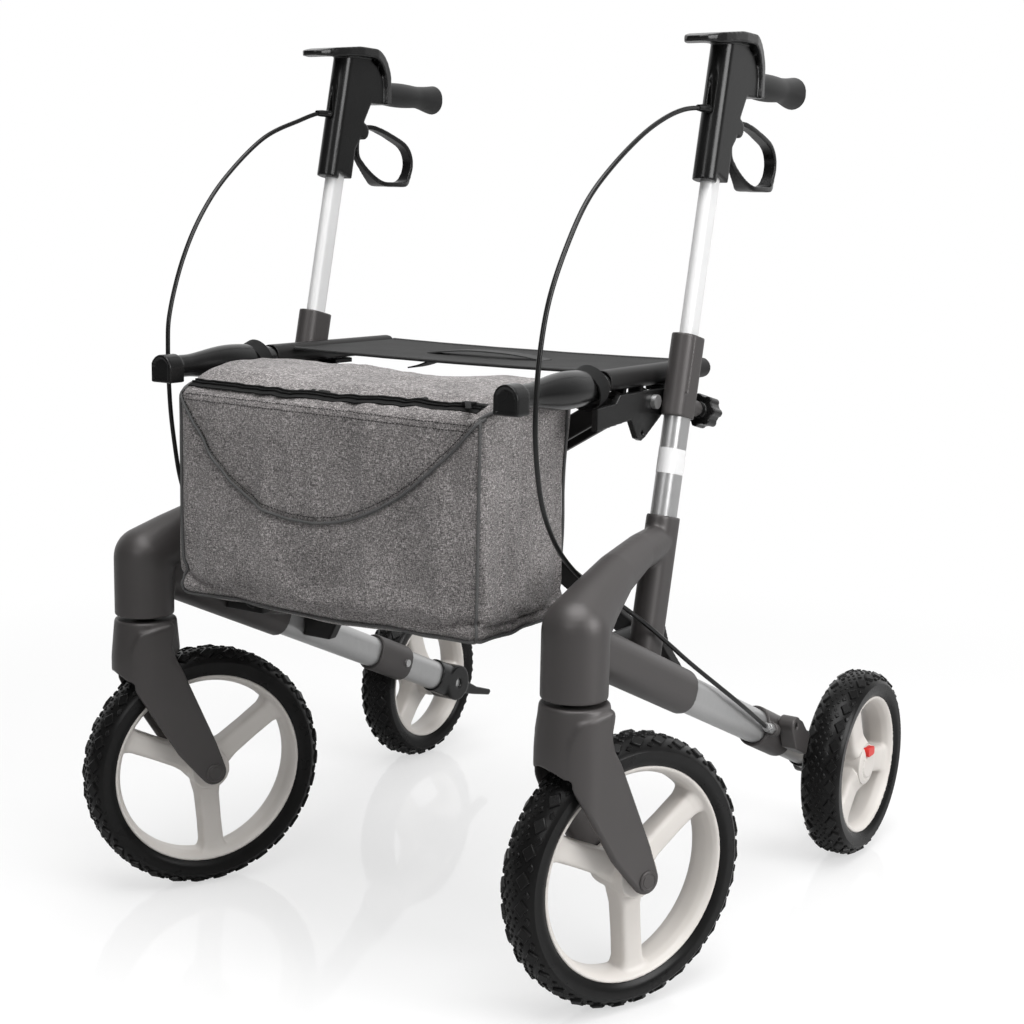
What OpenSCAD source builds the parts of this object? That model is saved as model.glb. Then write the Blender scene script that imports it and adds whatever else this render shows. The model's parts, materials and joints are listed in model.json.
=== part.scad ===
// All terrain rollator: a four-wheeled walking frame that folds sideways.
// Millimetres, +Z up, forward is -Y, the walker's left is +X. The origin is on the floor,
// on the middle plane and halfway along the length.

/* [Wheels] */
// Front wheel diameter over the tread
front_wheel_d = 280; // [268:1:288]
// Rear wheel diameter over the tread
rear_wheel_d = 230; // [222:1:238]
// Tyre width
tyre_w = 50; // [44:1:54]
// Front rim diameter at the tyre seat
front_rim_d = 222; // [200:1:226]
// Rear rim diameter at the tyre seat
rear_rim_d = 171; // [160:1:176]
// Tyre casing thickness
tyre_wall = 7; // [5:0.5:9]
// Radial thickness of a rim's ring
rim_ring = 9; // [6:0.5:12]
// Hub diameter
hub_d = 46; // [40:1:50]
// Spokes on each wheel
spokes = 3; // [3:1:6]
// Width of a front spoke
front_spoke_w = 27; // [20:1:32]
// Width of a rear spoke
rear_spoke_w = 34; // [24:1:38]

/* [Stance] */
// Distance between the two rear legs' middles
leg_span = 560; // [540:1:600]
// Distance of a caster axis outside its leg's middle
caster_out = 2; // [0:0.5:8]
// Fore-and-aft place of the caster axes
caster_y = -318; // [-326:1:-312]
// Distance of a front wheel's axle behind its caster axis
caster_trail = 67; // [62:1:72]
// Swivel of the left caster at rest, in degrees
left_swivel = 22; // [-30:1:30]
// Swivel of the right caster at rest, in degrees
right_swivel = 27; // [-30:1:30]
// Distance of a rear wheel's middle outside its leg's middle
rear_out = 52.5; // [50:0.5:58]
// Fore-and-aft place of the rear axle
rear_axle_y = 279.5; // [272:0.5:287]

/* [Side frame] */
// Diameter of the caster head
head_d = 66; // [62:1:70]
// Gap from a front wheel's top to the caster head's lower face
head_gap = 46; // [44:1:50]
// Height of the caster head below its dome
head_h = 66; // [60:1:72]
// Drop from the dome's middle to where the rear leg's line meets the caster axis
leg_drop = 11; // [6:1:16]
// Width of a rear leg tube
leg_w = 30; // [27:1:32]
// Depth of a rear leg tube
leg_d = 40; // [36:1:43]
// Wall of the leg and upright tubes
tube_wall = 2; // [1.5:0.1:2.5]
// Wall of the frame's sockets around the leg tubes
socket_wall = 4.5; // [3:0.5:5.5]
// Distance of an upright inside its leg's middle
upright_inset = 27; // [25:0.5:28]
// Backward lean of the uprights, in degrees
upright_lean = 12.65; // [11:0.05:14]
// Place of the uprights' middle at the collar's top edge
collar_y = -94; // [-97:1:-91]
// Height of the collar's top edge
collar_z = 468; // [460:1:476]
// Width of an upright tube
upright_w = 22; // [21:1:24]
// Depth of an upright tube
upright_d = 36; // [34:1:39]

/* [Handles] */
// Height of the grips
grip_z = 920; // [900:1:940]
// Width of a handle tube
handle_w = 14.5; // [13:0.5:15.5]
// Depth of a handle tube
handle_d = 27; // [25:0.5:29]
// Width of the handle body
handle_body_w = 26; // [24:1:30]
// Width of the palm guard
guard_w = 46; // [36:1:50]
// Length of a grip
grip_len = 107; // [95:1:120]
// Diameter of a grip near its root
grip_d = 27; // [24:1:30]
// Diameter of a grip at its end
grip_end_d = 33; // [30:1:36]
// Thickness of the brake lever's loop
lever_w = 14; // [10:1:18]

/* [Height clamp] */
// Height of the clamp sleeve's lower edge
clamp_bottom_z = 570; // [562:1:573]
// Height of the clamp sleeve's upper edge
clamp_top_z = 655; // [645:1:670]
// Height of the clamp knob
knob_z = 584; // [583:1:600]
// Diameter of the clamp knob over its lobes
knob_d = 37; // [30:1:38]
// Lobes on the clamp knob
knob_lobes = 7; // [5:1:8]

/* [Seat and fold] */
// Distance of a fold pivot and of a seat rail inside its leg's middle
fold_inset = 61; // [60:0.5:63]
// Height of the lower fold pivots
fold_low_z = 330; // [326:1:334]
// Height of the upper fold pivots
fold_high_z = 590; // [588:1:591]
// Height of a cross bar
cross_bar_h = 22; // [18:1:22]
// Thickness of a cross bar
cross_bar_t = 10; // [8:1:11]
// Height of the seat rails' middle
rail_z = 613; // [613:1:616]
// Width of a seat rail
rail_w = 26; // [24:1:28]
// Height of a seat rail
rail_h = 22; // [20:1:22]
// Place of the rails' front end
rail_front_y = -176; // [-178:1:-174]
// Place of the rails' rear end
rail_rear_y = 42; // [30:1:60]
// Place of the seat's front edge
seat_front_y = -150; // [-160:1:-130]
// Thickness of the seat fabric
seat_t = 3; // [2:0.5:4]

/* [Bag] */
// Gap between the bag's side and the middle of its arm
bag_gap = 22; // [20:1:30]
// Height of the bag's bottom
bag_bottom_z = 365; // [355:1:380]
// Height of the bag's upper edge
bag_top_z = 606; // [596:1:612]
// Place of the bag's front
bag_front_y = -356; // [-364:1:-350]
// Place of the bag's back
bag_back_y = -192; // [-200:1:-190]
// Length of a bag arm
bag_arm_len = 176; // [165:1:185]
// Diameter of a bag arm's bulge
bulge_d = 38; // [32:1:39]

/* [Fits] */
// Radial play of a shaft that turns in a hole
run_gap = 0.05; // [0.02:0.01:0.1]
// Radial play of a tube that slides in another
slide_gap = 0.3; // [0.25:0.05:0.4]
// Gap between pieces that only rest side by side
rest_gap = 0.3; // [0.25:0.05:0.4]
// Brake shoe's gap to the tyre
brake_gap = 3; // [2.8:0.1:4]

/* [Hidden] */
$fn = 48;
front_r = front_wheel_d / 2;
rear_r = rear_wheel_d / 2;
leg_x = leg_span / 2;
caster_x = leg_x + caster_out;
head_bottom_z = front_wheel_d + head_gap;
head_dome_z = head_bottom_z + head_h;
leg_head_z = head_dome_z - leg_drop;
upright_x = leg_x - upright_inset;
rear_x = leg_x + rear_out;
fold_x = leg_x - fold_inset;
fold_span = 2 * fold_x;
leg_rise = leg_head_z - rear_r;
leg_run = rear_axle_y - caster_y;
leg_tilt = atan2(leg_rise, leg_run);
leg_len = norm([leg_rise, leg_run]);

// Wheels
bead_w = tyre_w * 0.8;
hub_half = tyre_w / 2 + 1;
hub_out = tyre_w / 2 - 3;
spoke_t = 26;
front_turn = 65;
rear_turn = 20;
front_axle_r = 5;
rear_axle_r = 6;
rear_hub_r = 28;
button_w = 22;
button_h = 13;
button_up = 17;
button_round = 4;
button_len = 12;
button_travel = 3;
button_in = hub_out - button_len + 2.5;

// Fork, in the caster's own frame: +Y is the way the wheel trails
fork_play = 6;
blade_in = tyre_w / 2 + 4;
blade_t = 10;
blade_out = blade_in + blade_t;
fork_hub_r = 15;
fork_top_z = head_bottom_z - 4;
stem_r = 8;
stem_top_z = head_dome_z + 4;
stem_shoulder_r = 11;
bearing_r = 14;
bearing_h = 10;
bearing_lift = 1;
cap_r = 10.5;
cap_t = 2;
blade_front = [[-18, -12], [-29, -40], [-31, -64], [-17, -87], [26, -157]];
blade_rear = [[70, -146], [47, -93], [30, -54], [19, -29], [25, -9], [21, -2]];

// Side frame
socket_w = leg_w + 2 * socket_wall;
socket_d = leg_d + 2 * socket_wall;
socket_start = 404;
leg_start = 24;
leg_top = 562;
strut_w = upright_w + 6;
strut_d = upright_d + 9;
strut_foot_z = 296;
upright_foot_z = 384;
upright_top_z = clamp_top_z - 20;
clamp_w = upright_w + 4;
clamp_d = upright_d + 10;
arm_steps = [0, 0.28, 0.58, 0.83, 1];
arm_bow = 14;

// Brake on the rear leg, placed by its distance up the leg from the axle
sleeve_start = 125;
sleeve_len = 74;
sleeve_end = sleeve_start + sleeve_len;
sleeve_w = leg_w + 8;
sleeve_d = leg_d + 8;
lug_r = 8;
lug_len = 11;
adjuster_x = sleeve_w / 2 + 3;
adjuster_r = 4.5;
adjuster_len = 22;
adjuster_in = 4;
shoe_pin = [12, 165];
shoe_pin_r = 4;
shoe_in = sleeve_w / 2 + rest_gap;
shoe_out = rear_x - leg_x - 14;
shoe_reach = shoe_pin[1] - rear_r;
housing_r = 25;
housing_len = 44;
screw_s = sleeve_start + 14;
screw_r = 2.5;
screw_head_r = 5;

// Handle outlines are (y, z) points from the upright's line at grip height
handle_low_z = grip_z - 118;
handle_foot_z = upright_foot_z + 104;
bush_h = 30;
bush_less = 2 * tube_wall + 2 * slide_gap;
guard_back = 70;
core_r = 9;
lever_pivot = [18, -48];
lever_tongue = 7.2;
lever_slot = 8;
lever_pin_r = 3;
ear_r = 10;
cable_slot_w = 7;
grip_rings = 20;

// Clamp knob, by its distance behind the upright's line
boss_r = 9;
boss_end = clamp_d / 2 + 16;
knob_start = boss_end + 9;
knob_end = knob_start + 21;
knob_screw_r = 4;

// Folding cross and seat
arm_len = norm([fold_span, fold_high_z - fold_low_z]);
arm_angle = atan2(fold_high_z - fold_low_z, fold_span);
cross_y = -120;
bar_a_off = 40;
bar_b_off = 27;
pivot_pin_r = 8;
pivot_sleeve_r = 13;
rail_pin_r = 5;
centre_pin_r = 6;
lug_t = 6;
bracket_front_y = [-206, -192];
bracket_rear_y = [-60, -46];
bracket_reach = leg_x - leg_w / 2 + 6 - fold_x;
pin_ends_y = [-212, -42];
support_out = upright_x - clamp_w / 2;
support_t = 7;
support_in = support_out - support_t;
support_bolt = [-100, 588];
support_hole = [-122, 557];
support_hole_r = 2.5;
bolt_r = 4;
rest_y = -66;
rest_len = 32;
rest_in = 8;
rest_low_z = fold_high_z + rail_pin_r + 1;
rest_high_z = rail_z - rail_h / 2 - rest_gap;
hem_w = 10;
strap_at = [-62, -62];
strap_len = 50;
strap_w = 30;
tab_back = 76;
tab_len = 36;
tab_t = 9;
neck_d = 24;
bulge_rings = 24;
arm_block_len = 20;
arm_block_w = 28;
arm_block_low = 16;
bulge_low_z = rail_z - 4 - bulge_d / 2;
bag_w = fold_span - 2 * bag_gap;
bag_round = 22;
bag_corner = 26;
bag_wall = 5;
zip_len = 320;
zip_slit = 3;

// Brake cables: diameter, sides of the tube, rings between two route points
cable_d = 5;
cable_sides = 8;
cable_steps = 4;
// Routes from the handle's slot towards the adjuster on the rear leg: the first number is outwards
// from the upright's place
left_route = [[0, -20, 890], [0, -45, 890], [1, -84, 886], [1, -125, 875], [1, -171, 856], [2, -228, 825],
    [2, -273, 792], [2, -308, 750], [2, -335, 705], [2, -349, 660], [2, -355, 610], [1, -352, 564],
    [-1, -337, 514], [-6, -308, 476], [-11, -273, 446], [-12, -230, 417], [-3, -184, 390],
    [15, -150, 362], [23, -112, 334], [32, -72, 304]];
right_route = [[0, -20, 890], [0, -45, 890], [1, -80, 880], [2, -143, 857], [3, -206, 812], [4, -247, 768],
    [5, -276, 719], [5, -296, 665], [5, -300, 627], [5, -298, 566], [3, -294, 520], [-3, -291, 478],
    [-10, -282, 444], [-13, -262, 418], [-12, -226, 402], [-3, -184, 386], [15, -150, 362],
    [23, -112, 334], [32, -72, 304]];

// Flat-sided oval with its round ends along Y
module oval(w, d) {
    square([w, d - w], center = true);
    for (s = [-1, 1]) translate([0, s * (d - w) / 2]) circle(d = w);
}

module oval_bar(w, d, len) linear_extrude(len) oval(w, d);

module oval_tube(w, d, wall, len) {
    linear_extrude(len) difference() {
        oval(w, d);
        oval(w - 2 * wall, d - 2 * wall);
    }
}

// A side outline of (y, z) points, given a thickness along X about the middle
module side_plate(t) rotate([90, 0, 90]) translate([0, 0, -t / 2]) linear_extrude(t) children();

// An end-on outline of (x, z) points, given a thickness along Y from y0 to y1
module end_plate(y0, y1) translate([0, y1, 0]) rotate([90, 0, 0]) linear_extrude(y1 - y0) children();

module along_x(x0, x1, r) translate([x0, 0, 0]) rotate([0, 90, 0]) cylinder(h = x1 - x0, r = r);

module along_y(y0, y1, r) translate([0, y1, 0]) rotate([90, 0, 0]) cylinder(h = y1 - y0, r = r);

module mirrored() mirror([1, 0, 0]) children();

function arc(c, r, a0, a1, n = 8) =
    [for (i = [0:n]) c + r * [cos(a0 + (a1 - a0) * i / n), sin(a0 + (a1 - a0) * i / n)]];

function upright_line(z) = [upright_x, collar_y + (z - collar_z) * tan(upright_lean), z];
function upright_len(z0, z1) = (z1 - z0) / cos(upright_lean);

// Local Z runs up the upright from height z
module on_upright(z) translate(upright_line(z)) rotate([-upright_lean, 0, 0]) children();

// Local Z runs up the rear leg from the axle, local Y is its depth
module on_leg(s) {
    translate([leg_x, rear_axle_y, rear_r]) rotate([90 - leg_tilt, 0, 0]) translate([0, 0, s]) children();
}

module at_handle() translate(upright_line(grip_z)) children();

module at_rear_wheel() translate([rear_x, rear_axle_y, rear_r]) children();

module left_caster() translate([caster_x, caster_y, 0]) rotate([0, 0, -left_swivel]) children();

module right_caster() translate([-caster_x, caster_y, 0]) rotate([0, 0, -right_swivel]) children();

module at_front_wheel() translate([0, caster_trail, front_r]) children();

// The side frame's arm from the collar down to the caster head, as a chain of round sections
function arm_at(t) = let (top = upright_line(collar_z - 26), foot = [caster_x, caster_y, head_dome_z])
    top + (foot - top) * t + [0, 0, arm_bow * sin(180 * t)];
function arm_radii(t) = let (thin = [strut_w / 2, strut_d / 2 - 2, 19.5], full = head_d / 2 * [1, 1, 1])
    thin + (full - thin) * t * t;

module arm_section(t) translate(arm_at(t)) scale(arm_radii(t)) sphere(r = 1, $fn = 32);

module frame_arm() {
    for (i = [0:len(arm_steps) - 2]) hull() {
        arm_section(arm_steps[i]);
        arm_section(arm_steps[i + 1]);
    }
}

module side_frame() color("dimgray") difference() {
    union() {
        frame_arm();
        translate([caster_x, caster_y, head_bottom_z])
            cylinder(h = head_dome_z - head_bottom_z, d = head_d);
        on_upright(strut_foot_z) oval_bar(strut_w, strut_d, upright_len(strut_foot_z, collar_z));
        on_leg(socket_start) oval_bar(socket_w, socket_d, leg_len - socket_start - head_d / 3);
    }
    translate([caster_x, caster_y, head_bottom_z - 1])
        cylinder(h = stem_top_z + 3 - head_bottom_z, r = bearing_r);
    on_upright(upright_foot_z) oval_bar(upright_w, upright_d, upright_len(upright_foot_z, collar_z + 30));
    on_leg(socket_start - 1) oval_bar(leg_w, leg_d, leg_top - socket_start + 1);
}

module head_bearings() color("lightgray") translate([caster_x, caster_y, 0]) {
    for (z = [head_bottom_z + bearing_lift, stem_top_z - bearing_h])
        translate([0, 0, z]) difference() {
            cylinder(h = bearing_h, r = bearing_r);
            translate([0, 0, -1]) cylinder(h = bearing_h + 2, r = stem_r + run_gap);
        }
}

module upright_tube() color("silver") on_upright(upright_foot_z)
    oval_tube(upright_w, upright_d, tube_wall, upright_len(upright_foot_z, upright_top_z));

module height_clamp() color("dimgray") difference() {
    union() {
        on_upright(clamp_bottom_z) oval_bar(clamp_w, clamp_d, upright_len(clamp_bottom_z, clamp_top_z));
        on_upright(knob_z) rotate([-90, 0, 0]) cylinder(h = boss_end, r = boss_r);
    }
    on_upright(clamp_bottom_z - 20)
        oval_bar(upright_w, upright_d, upright_len(clamp_bottom_z - 20, upright_top_z));
    on_upright(upright_top_z - 1) oval_bar(handle_w + 2 * slide_gap, handle_d + 2 * slide_gap, 60);
    on_upright(knob_z) rotate([-90, 0, 0]) cylinder(h = boss_end + 1, r = knob_screw_r + run_gap);
}

module clamp_knob() color("black") on_upright(knob_z) rotate([-90, 0, 0]) {
    translate([0, 0, upright_d / 2 + rest_gap]) cylinder(h = knob_start - upright_d / 2, r = knob_screw_r);
    translate([0, 0, boss_end + rest_gap]) cylinder(h = knob_start - boss_end, r = boss_r - 1);
    translate([0, 0, knob_start]) linear_extrude(knob_end - knob_start) {
        circle(r = knob_d / 2 - 3);
        for (i = [0:knob_lobes - 1])
            rotate(360 / knob_lobes * i) translate([knob_d / 2 - 4.5, 0]) circle(r = 4.5);
    }
}

module handle_tube() color("gainsboro") on_upright(handle_foot_z) {
    oval_tube(handle_w, handle_d, tube_wall - 0.2, upright_len(handle_foot_z, grip_z - 10));
    difference() {
        oval_bar(upright_w - bush_less, upright_d - bush_less, bush_h);
        translate([0, 0, -1]) oval_bar(handle_w - 1, handle_d - 1, bush_h + 2);
    }
}

column_r = handle_body_w / 2;
column_ahead = 13.3;
column_low = -107;
body_outline = [[-36, -95], [-6, -106], [2, -68], [10, -60], [18, -38], [33, -14], [58, -14], [60, 8],
    [46, 30], [26, 41], [-4, 40]];
guard_outline = concat([[-72, 37], [-73, 41], [-45, 46], [0, 51]], arc([30, 11], 40, 88, 10),
    [[guard_back, -14], [guard_back - 13, -14], [guard_back - 12, 6]], arc([26, 9], 31, 15, 85),
    [[0, 40], [-45, 37]]);

// Half of the palm guard in plan: half width, place along the grip
guard_half = [[7, -73], [14, -67], [19, -56], [22, -42], [guard_w / 2, -22], [guard_w / 2, 6], [21, 36], [17, 58],
    [15, 72]];

module guard_plan() at_handle() translate([0, 0, -20]) linear_extrude(80)
    polygon(concat(guard_half, [for (i = [len(guard_half) - 1:-1:0]) [-guard_half[i][0], guard_half[i][1]]]));

module handle_body() color("black") difference() {
    union() {
        at_handle() side_plate(handle_body_w) {
            polygon(body_outline);
            translate(lever_pivot) circle(r = ear_r);
        }
        on_upright(grip_z + column_low) translate([0, -column_ahead, 0])
            cylinder(h = upright_len(column_low, 40), r = column_r);
        intersection() {
            at_handle() side_plate(guard_w) polygon(guard_outline);
            guard_plan();
        }
        at_handle() along_y(guard_back - 8, guard_back + grip_len - 10, core_r);
    }
    on_upright(handle_low_z) oval_bar(handle_w, handle_d, upright_len(handle_low_z, grip_z - 10));
    at_handle() translate([0, lever_pivot[0], lever_pivot[1]]) difference() {
        translate([-lever_slot / 2, -14, -17]) cube([lever_slot, 60, 34]);
        along_x(-lever_slot, lever_slot, lever_pin_r);
    }
    at_handle() translate([-cable_slot_w / 2, -60, -34]) cube([cable_slot_w, 36, 50]);
}

function grip_radius(t) = grip_d / 2 + 1.5 * sin(180 * min(1, t * 1.6))
    + (grip_end_d - grip_d) / 2 * pow(max(0, (t - 0.6) / 0.4), 2);

module grip() color("black") at_handle() translate([0, guard_back, 0]) rotate([-90, 0, 0]) difference() {
    rotate_extrude() polygon(concat([[0, 0]],
        [for (i = [0:grip_rings]) [grip_radius(i / grip_rings), grip_len * i / grip_rings]],
        [[grip_end_d / 2 - 4, grip_len + 4], [0, grip_len + 5]]));
    translate([0, 0, -1]) cylinder(h = grip_len - 9, r = core_r);
}

lever_ring = [[16, -60], [24, -36], [46, -38], [84, -49], [114, -60], [127, -73], [129, -88], [121, -107],
    [112, -114], [60, -114], [46, -107], [24, -91], [13, -79]];
lever_gap = [[36, -60], [48, -47], [84, -56], [109, -66], [120, -76], [122, -87], [115, -102], [108, -107],
    [62, -107], [50, -101], [30, -86], [22, -76], [29, -66]];
lever_paddle = 24;

module brake_lever() color("black") at_handle() difference() {
    union() {
        side_plate(lever_w) intersection() {
            polygon(lever_ring);
            union() {
                translate([lever_pivot[0] + 17, -130]) square([120, 130]);
                translate([lever_pivot[0] - 10, -130]) square([40, 112 + lever_pivot[1]]);
            }
        }
        side_plate(lever_tongue) {
            polygon(lever_ring);
            translate(lever_pivot) circle(r = 13);
        }
        side_plate(lever_paddle) intersection() {
            polygon(lever_ring);
            translate([54, -116]) square([58, 22]);
        }
    }
    side_plate(lever_paddle + 2) polygon(lever_gap);
    translate([0, lever_pivot[0], lever_pivot[1]]) along_x(-lever_w, lever_w, lever_pin_r + run_gap);
}

// A smooth line through a route's points, and a ring of points about it
function spline(p, i, u) =
    let (a = p[max(i - 1, 0)], b = p[i], c = p[i + 1], d = p[min(i + 2, len(p) - 1)])
    0.5 * (2 * b + (c - a) * u + (2 * a - 5 * b + 4 * c - d) * u * u + (3 * b - a - 3 * c + d) * u * u * u);
function smooth_line(p) = concat(
    [for (i = [0:len(p) - 2], k = [0:cable_steps - 1]) spline(p, i, k / cable_steps)], [p[len(p) - 1]]);
function unit(v) = v / norm(v);
function ring_at(line, i) =
    let (t = unit(line[min(i + 1, len(line) - 1)] - line[max(i - 1, 0)]),
        x = unit(cross([0, t[2], -t[1]], t)),
        y = cross(t, x))
    [for (k = [0:cable_sides - 1]) let (a = 360 * k / cable_sides)
        line[i] + cable_d / 2 * (cos(a) * x + sin(a) * y)];
function adjuster_end() = let (s = sleeve_end - adjuster_in + adjuster_len)
    [leg_x + adjuster_x, rear_axle_y - s * cos(leg_tilt), rear_r + s * sin(leg_tilt)];

module brake_cable(route, side) color("black") {
    tip = adjuster_end();
    placed = [for (p = route) [side * (upright_x + p[0]), p[1], p[2]]];
    line = smooth_line(concat(placed, [[side * tip[0], tip[1] - 69, tip[2] + 42]],
        [[side * tip[0], tip[1], tip[2]]]));
    n = len(line);
    points = [for (i = [0:n - 1]) each ring_at(line, i)];
    walls = [for (i = [0:n - 2], k = [0:cable_sides - 1])
        let (a = i * cable_sides + k, b = i * cable_sides + (k + 1) % cable_sides)
        each [[a, a + cable_sides, b], [b, a + cable_sides, b + cable_sides]]];
    first = [for (k = [1:cable_sides - 2]) [0, k, k + 1]];
    last = [for (k = [1:cable_sides - 2]) (n - 1) * cable_sides * [1, 1, 1] + [0, k + 1, k]];
    polyhedron(points, concat(walls, first, last));
}

module cable_adjuster() color("silver") on_leg(sleeve_end - adjuster_in) translate([adjuster_x, 0, 0]) {
    cylinder(h = adjuster_len, r = adjuster_r - 1);
    translate([0, 0, adjuster_in]) cylinder(h = 9, r = adjuster_r + 1.5, $fn = 6);
    translate([0, 0, adjuster_in + 9]) cylinder(h = 7, r = adjuster_r);
}

module rear_leg_tube() color("silver") on_leg(leg_start)
    oval_tube(leg_w, leg_d, tube_wall, leg_top - leg_start);

module brake_mount() color("dimgray") difference() {
    union() {
        on_leg(sleeve_start) oval_bar(sleeve_w, sleeve_d, sleeve_len);
        on_leg(sleeve_end - lug_len) translate([adjuster_x, 0, 0]) cylinder(h = lug_len, r = lug_r);
        on_leg(shoe_pin[1]) translate([0, shoe_pin[0], 0]) along_x(0, shoe_out - 3, shoe_pin_r);
    }
    on_leg(sleeve_start - 1) oval_bar(leg_w, leg_d, sleeve_len + 2);
    on_leg(sleeve_end - adjuster_in) translate([adjuster_x, 0, 0]) cylinder(h = 10, r = adjuster_r - 1);
    on_leg(screw_s) along_x(-sleeve_w, 0, screw_r);
}

// The shoe is a wedge about its pin that ends along the tyre's tread
module brake_shoe() color("dimgray") difference() {
    on_leg(shoe_pin[1]) translate([shoe_in, shoe_pin[0], 0]) rotate([90, 0, 90]) difference() {
        linear_extrude(shoe_out - shoe_in) polygon(concat(arc([0, 0], 11, -30, 150, 16),
            [[-25, -14], [-26, -shoe_reach - 8], [-8, -shoe_reach - 8], [9, -16]]));
        translate([0, 0, -1]) cylinder(h = shoe_out - shoe_in + 2, r = shoe_pin_r + run_gap);
    }
    at_rear_wheel() along_x(-2 * tyre_w, 2 * tyre_w, rear_r + brake_gap);
}

module axle_housing() color("black") difference() {
    union() {
        on_leg(0) along_x(-leg_w / 2 - 3, leg_w / 2 + 3, housing_r);
        on_leg(0) oval_bar(leg_w + 6, leg_d + 6, housing_len);
        translate([leg_x - 9, rear_axle_y, rear_r]) side_plate(16)
            polygon([[-14, -20], [6, -16], [40, -26], [80, -36], [85, -32], [83, -28], [50, -17], [22, -2],
                [8, 14], [-6, 23], [-14, 18]]);
    }
    on_leg(leg_start) oval_bar(leg_w, leg_d, housing_len);
    on_leg(0) along_x(-leg_w, leg_w, rear_axle_r);
}

module rear_axle() color("silver") translate([leg_x, rear_axle_y, rear_r]) {
    along_x(-leg_w / 2, rear_x - leg_x + hub_out - 1, rear_axle_r);
    along_x(leg_w / 2 + 3, rear_x - leg_x - hub_half - rest_gap, rear_axle_r + 5);
}

// Wheel profiles are (radius, place along the axle)
function tyre_half(r, seat) = [[seat, bead_w / 2 - tyre_wall], [seat, bead_w / 2], [seat + 6, bead_w / 2 + 3],
    [r - 15, tyre_w / 2], [r - 6, tyre_w / 2 - 3], [r, tyre_w / 2 - 12]];
function tyre_bore(r) = let (half = bead_w / 2 - tyre_wall)
    [[r - tyre_wall, half - 6], [r - tyre_wall - 8, half]];
function flipped(p) = [for (i = [len(p) - 1:-1:0]) [p[i][0], -p[i][1]]];

module tyre(r, seat) color("black") rotate([0, 90, 0]) rotate_extrude($fn = 96)
    polygon(concat(tyre_half(r, seat), flipped(tyre_half(r, seat)), flipped(tyre_bore(r)), tyre_bore(r)));

module spoke(w, len) translate([0, 0, hub_d / 4]) linear_extrude(len - hub_d / 4) {
    square([spoke_t, w - 12], center = true);
    square([spoke_t - 10, w], center = true);
}

module rim_body(seat, spoke_w, turn) {
    rotate([0, 90, 0]) rotate_extrude($fn = 96) difference() {
        translate([seat - rim_ring, -bead_w / 2]) square([rim_ring, bead_w]);
        for (s = [-1, 1]) translate([seat - rim_ring, s * bead_w / 2]) circle(r = 3);
    }
    for (i = [0:spokes - 1]) rotate([turn + 360 / spokes * i, 0, 0]) spoke(spoke_w, seat - rim_ring / 2);
}

module front_rim() color("linen") at_front_wheel() difference() {
    union() {
        rim_body(front_rim_d / 2, front_spoke_w, front_turn);
        along_x(-hub_half, hub_half, hub_d / 2);
    }
    along_x(-hub_half - 1, hub_half + 1, front_axle_r + run_gap);
}

module front_tyre() at_front_wheel() tyre(front_r, front_rim_d / 2);

module rear_rim() color("linen") at_rear_wheel() difference() {
    union() {
        rim_body(rear_rim_d / 2, rear_spoke_w, rear_turn);
        along_x(-hub_half, hub_out - 8, hub_d / 2);
        along_x(hub_out - 16, hub_out, rear_hub_r);
    }
    along_x(-hub_half - 1, hub_out + 1, rear_axle_r + run_gap);
    tab_block(button_in - button_travel - 1, hub_out + 1, 2 * run_gap);
}

module rear_tyre() at_rear_wheel() tyre(rear_r, rear_rim_d / 2);

// The release tab's block with round corners, from x0 to x1, grown by a gap
module tab_block(x0, x1, gap) translate([(x0 + x1) / 2, 0, button_up]) side_plate(x1 - x0)
    round_rect(button_w + 2 * gap, button_h + 2 * gap, button_round);

module release_button() color("red") at_rear_wheel() tab_block(button_in, button_in + button_len, 0);

module fork_crown() hull() {
    translate([0, 1, fork_top_z - 8]) cylinder(h = 8, r = head_d / 2 + 1.5, $fn = 48);
    translate([0, 1, fork_top_z - 74]) cylinder(h = 30, r = blade_out - 0.5, $fn = 48);
}

// Room that the blades fill: round the crown in front, free behind
module blade_room() {
    translate([0, 1, 0]) cylinder(h = head_dome_z, r = blade_out + 0.3, $fn = 96);
    translate([-blade_out - 5, 1, 0]) cube([2 * blade_out + 10, 2 * front_r, head_dome_z]);
}

function lifted(p) = [for (q = p) [q[0], q[1] + fork_top_z]];

module fork() color("dimgray") difference() {
    union() {
        fork_crown();
        intersection() {
            for (s = [-1, 1]) translate([s * (blade_in + blade_t / 2), 0, 0]) side_plate(blade_t) {
                polygon(concat(lifted(blade_front), [[caster_trail - 13, front_r - 8]],
                    [[caster_trail + 13, front_r + 8]], lifted(blade_rear)));
                translate([caster_trail, front_r]) circle(r = fork_hub_r);
            }
            blade_room();
        }
        translate([0, 0, fork_top_z - 10]) cylinder(h = stem_top_z - fork_top_z + 10, r = stem_r);
        translate([0, 0, fork_top_z - 10])
            cylinder(h = head_bottom_z + bearing_lift - rest_gap - fork_top_z + 10, r = stem_shoulder_r);
    }
    at_front_wheel() along_x(-blade_in, blade_in, front_r + fork_play);
    at_front_wheel() along_x(-blade_out - 1, blade_out + 1, front_axle_r);
}

module front_axle() color("silver") at_front_wheel() {
    along_x(-blade_out, blade_out, front_axle_r);
    along_x(blade_out, blade_out + cap_t, cap_r);
    along_x(-blade_out - cap_t, -blade_out, cap_r);
}

support_outline = [[-216, 567], [-146, 572.5], [-132, 552], [-124, 549], [-116, 552], [-70, 578.5],
    [-38, 584], [-32, 600], [-170, 600], [-178, 592], [-216, 590]];

module support_bore(at, r) translate([0, at[0], at[1]]) along_x(support_in - 1, support_out + 1, r);

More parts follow.
